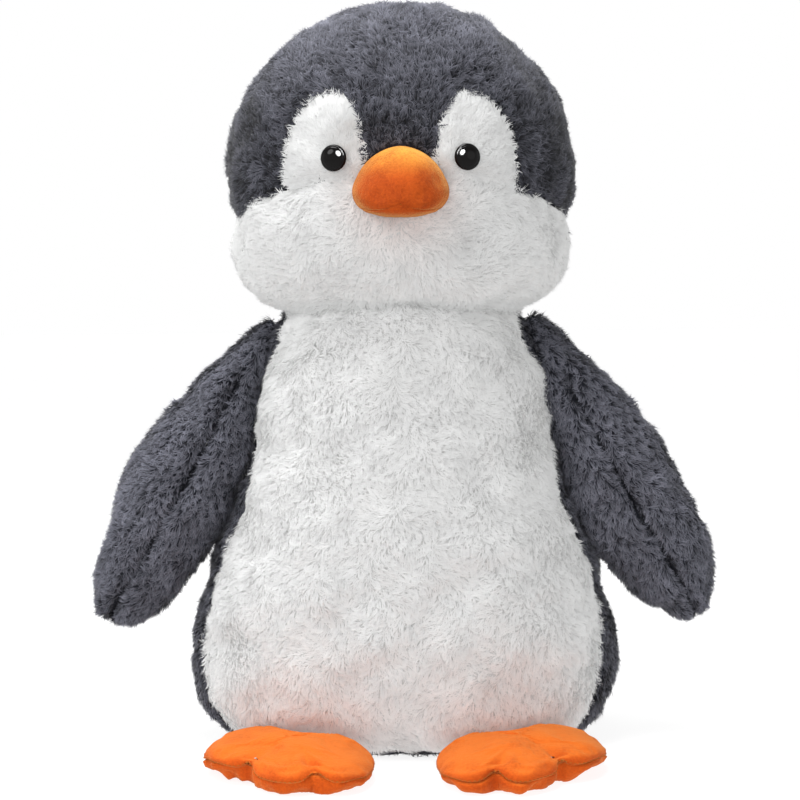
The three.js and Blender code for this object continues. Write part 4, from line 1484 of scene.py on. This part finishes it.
class PENGUIN_OT_flippers(bpy.types.Operator):
    """Sews the two flippers from their outer and inner panels"""

    bl_idname = "penguin.flippers"
    bl_label = "Flippers"

    def execute(self, context):
        cloth = context.scene.penguin_cloth
        kit = materials()
        for side, sign in SIDES.items():
            flipper = flipper_form(side)
            grid, mark = flipper.grid, flipper.marks
            half = grid.shape[1] // 2
            start = mark["front"]
            first, second = (start, start + half), (start + half, start + 2 * half)
            spans = {"outer": first, "inner": second}
            if sign < 0:
                spans = {"inner": first, "outer": second}
            along = FLIPPER_ALONG * np.array([sign, 1, 1])

            def heading(roots, along=along):
                return np.broadcast_to(along, roots.shape)

            def keep(roots):
                """Only the pile that is clear of the body."""
                mirrored = roots * np.array([sign, 1, 1])
                return np.linalg.norm(press_out(mirrored, 0.5 * MM) - mirrored, axis=1) < 0.2 * MM

            for seed, (part, span) in enumerate(spans.items()):
                name = f"flipper_{side}_{part}"
                rows = (0, mark["end"])
                cells, facing = flipper.part(rows, span)
                skin = panel(
                    f"{name}_cloth", cells, kit["slate_cloth"], None, cloth.cloth,
                    (f"{name}_panel",),
                )
                bend_with(skin)
                # Painted light: the flippers' slate pile made lighter than the rest.
                hair = pile(
                    f"{name}_pile", cells, facing, heading, coat_of("slate"), kit["slate_pile"], None,
                    "slate_plush", SEEDS["flipper"] + 20 * seed + (0 if sign > 0 else 50), keep=keep,
                    density=TUFTS["flipper"], parting=grid[18 : mark["end"], mark["front"]],
                    shade=FLIPPER_PAINTED_LIGHT,
                )
                bend_with(hair)
            inner = filling(f"flipper_{side}_filling", flipper, None, f"flipper_{side}_stuffing")
            bend_with(inner)
        return {"FINISHED"}


class PENGUIN_OT_feet(bpy.types.Operator):
    """Sews the two feet from top and sole panels, with the stitches round their edge"""

    bl_idname = "penguin.feet"
    bl_label = "Feet"

    def execute(self, context):
        cloth = context.scene.penguin_cloth
        kit = materials()
        for side in SIDES:
            foot = foot_form(side)
            end, edge = foot.marks["end"], foot.marks["edge"]
            columns = foot.grid.shape[1]
            for part, rows in {"top": (0, edge), "sole": (edge, end)}.items():
                name = f"foot_{side}_{part}"
                cells = block(foot.grid, rows, (0, columns))
                panel(
                    f"{name}_cloth", cells, kit["velour"], f"foot_{side}", cloth.velour,
                    (f"{name}_panel",),
                )
            row = edge - 1
            stitches(
                f"foot_{side}_stitches", foot.grid[row], foot.normals[row], kit["thread"], f"foot_{side}",
                "orange_cloth", *(size * MM for size in STITCH),
            )
            filling(
                f"foot_{side}_filling", foot, f"foot_{side}", f"foot_{side}_stuffing", shrink=FOOT_FILLING
            )
        return {"FINISHED"}


class PENGUIN_OT_stage(bpy.types.Operator):
    """Sets the pale floor, the soft lights and the camera"""

    bl_idname = "penguin.stage"
    bl_label = "Studio"

    def execute(self, context):
        scene = context.scene
        stage = scene.penguin_stage
        scene.view_settings.view_transform = "Standard"
        self.floor(stage)
        self.world(scene, stage)
        for name, (position, size) in LIGHTS.items():
            self.light(name, position, size, getattr(stage, f"{name}_power"))
        glint = bpy.data.objects["glint"]
        eyes = bpy.data.collections.new("glinting")
        for side in SIDES:
            eyes.objects.link(bpy.data.objects[f"eye_{side}_dome"])
        glint.light_linking.receiver_collection = eyes
        glint.visible_diffuse = False
        camera = bpy.data.objects.new("camera", bpy.data.cameras.new("camera"))
        scene.collection.objects.link(camera)
        camera.data.lens = stage.focal_length
        camera.data.sensor_width = SENSOR_WIDTH
        camera.location = (CAMERA_X * MM, AXIS_Y - stage.camera_distance, stage.camera_height)
        camera.rotation_euler = (math.pi / 2 - stage.camera_pitch, stage.camera_roll, 0)
        camera.data.clip_end = 100
        scene.camera = camera
        return {"FINISHED"}

    def floor(self, stage):
        """A pale square floor."""
        mesh = bpy.data.meshes.new("floor")
        corners = [(x * FLOOR_HALF, y * FLOOR_HALF, 0) for x, y in ((-1, -1), (1, -1), (1, 1), (-1, 1))]
        mesh.from_pydata(corners, [], [(0, 1, 2, 3)])
        material, _, shader = base_material(
            "Pale floor", 0.9, Specular_IOR_Level=0.05, Emission_Color=(1, 1, 1, 1),
            Emission_Strength=FLOOR_GLOW,
        )
        shader.inputs["Base Color"].default_value = opaque(stage.floor)
        mesh.materials.append(material)
        floor = bpy.data.objects.new("floor", mesh)
        bpy.context.scene.collection.objects.link(floor)

    def world(self, scene, stage):
        """An even pale surround that is dimmer overhead."""
        world = bpy.data.worlds.new("Even light")
        world.use_nodes = True
        tree = world.node_tree
        background = tree.nodes["Background"]
        background.inputs["Color"].default_value = (1, 1, 1, 1)
        fade = ranged(tree, upward(tree, "Generated"), 0.22, 0.6, to=(stage.sky, stage.ceiling))
        tree.links.new(fade, background.inputs["Strength"])
        scene.world = world

    def light(self, name, position, size, power):
        """A round soft light aimed at the middle of the penguin."""
        data = bpy.data.lights.new(name, "AREA")
        data.shape = "DISK"
        data.size = size
        data.energy = power
        lamp = bpy.data.objects.new(name, data)
        away = np.array(position) - np.array([0, AXIS_Y, LIGHTS_AIM_Z])
        flat = math.hypot(away[0], away[1])
        lamp.location = position
        lamp.rotation_euler = (math.atan2(flat, away[2]), 0, math.atan2(away[1], away[0]) + math.pi / 2)
        bpy.context.scene.collection.objects.link(lamp)
        return lamp


STEPS = (
    PENGUIN_OT_head, PENGUIN_OT_eyes, PENGUIN_OT_beak, PENGUIN_OT_body, PENGUIN_OT_flippers,
    PENGUIN_OT_feet, PENGUIN_OT_stage,
)


class PENGUIN_PT_panel(bpy.types.Panel):
    """Lists the penguin's makers and its settings"""

    bl_label = "Penguin"
    bl_idname = "PENGUIN_PT_panel"
    bl_space_type = "VIEW_3D"
    bl_region_type = "UI"
    bl_category = "Penguin"

    def draw(self, context):
        for step in STEPS:
            self.layout.operator(step.bl_idname)
        for name, group in SETTINGS.items():
            box = self.layout.box()
            for key in group.__annotations__:
                box.prop(getattr(context.scene, name), key)


def register():
    for group in SETTINGS.values():
        bpy.utils.register_class(group)
    for name, group in SETTINGS.items():
        setattr(bpy.types.Scene, name, PointerProperty(type=group))
    for kind in (*STEPS, PENGUIN_PT_panel):
        bpy.utils.register_class(kind)


def unregister():
    for kind in (PENGUIN_PT_panel, *reversed(STEPS)):
        bpy.utils.unregister_class(kind)
    for name in SETTINGS:
        delattr(bpy.types.Scene, name)
    for group in SETTINGS.values():
        bpy.utils.unregister_class(group)


def main():
    """Makes every piece in order."""
    register()
    for step in STEPS:
        getattr(bpy.ops.penguin, step.bl_idname.split(".")[1])()


if __name__ == "__main__":
    main()
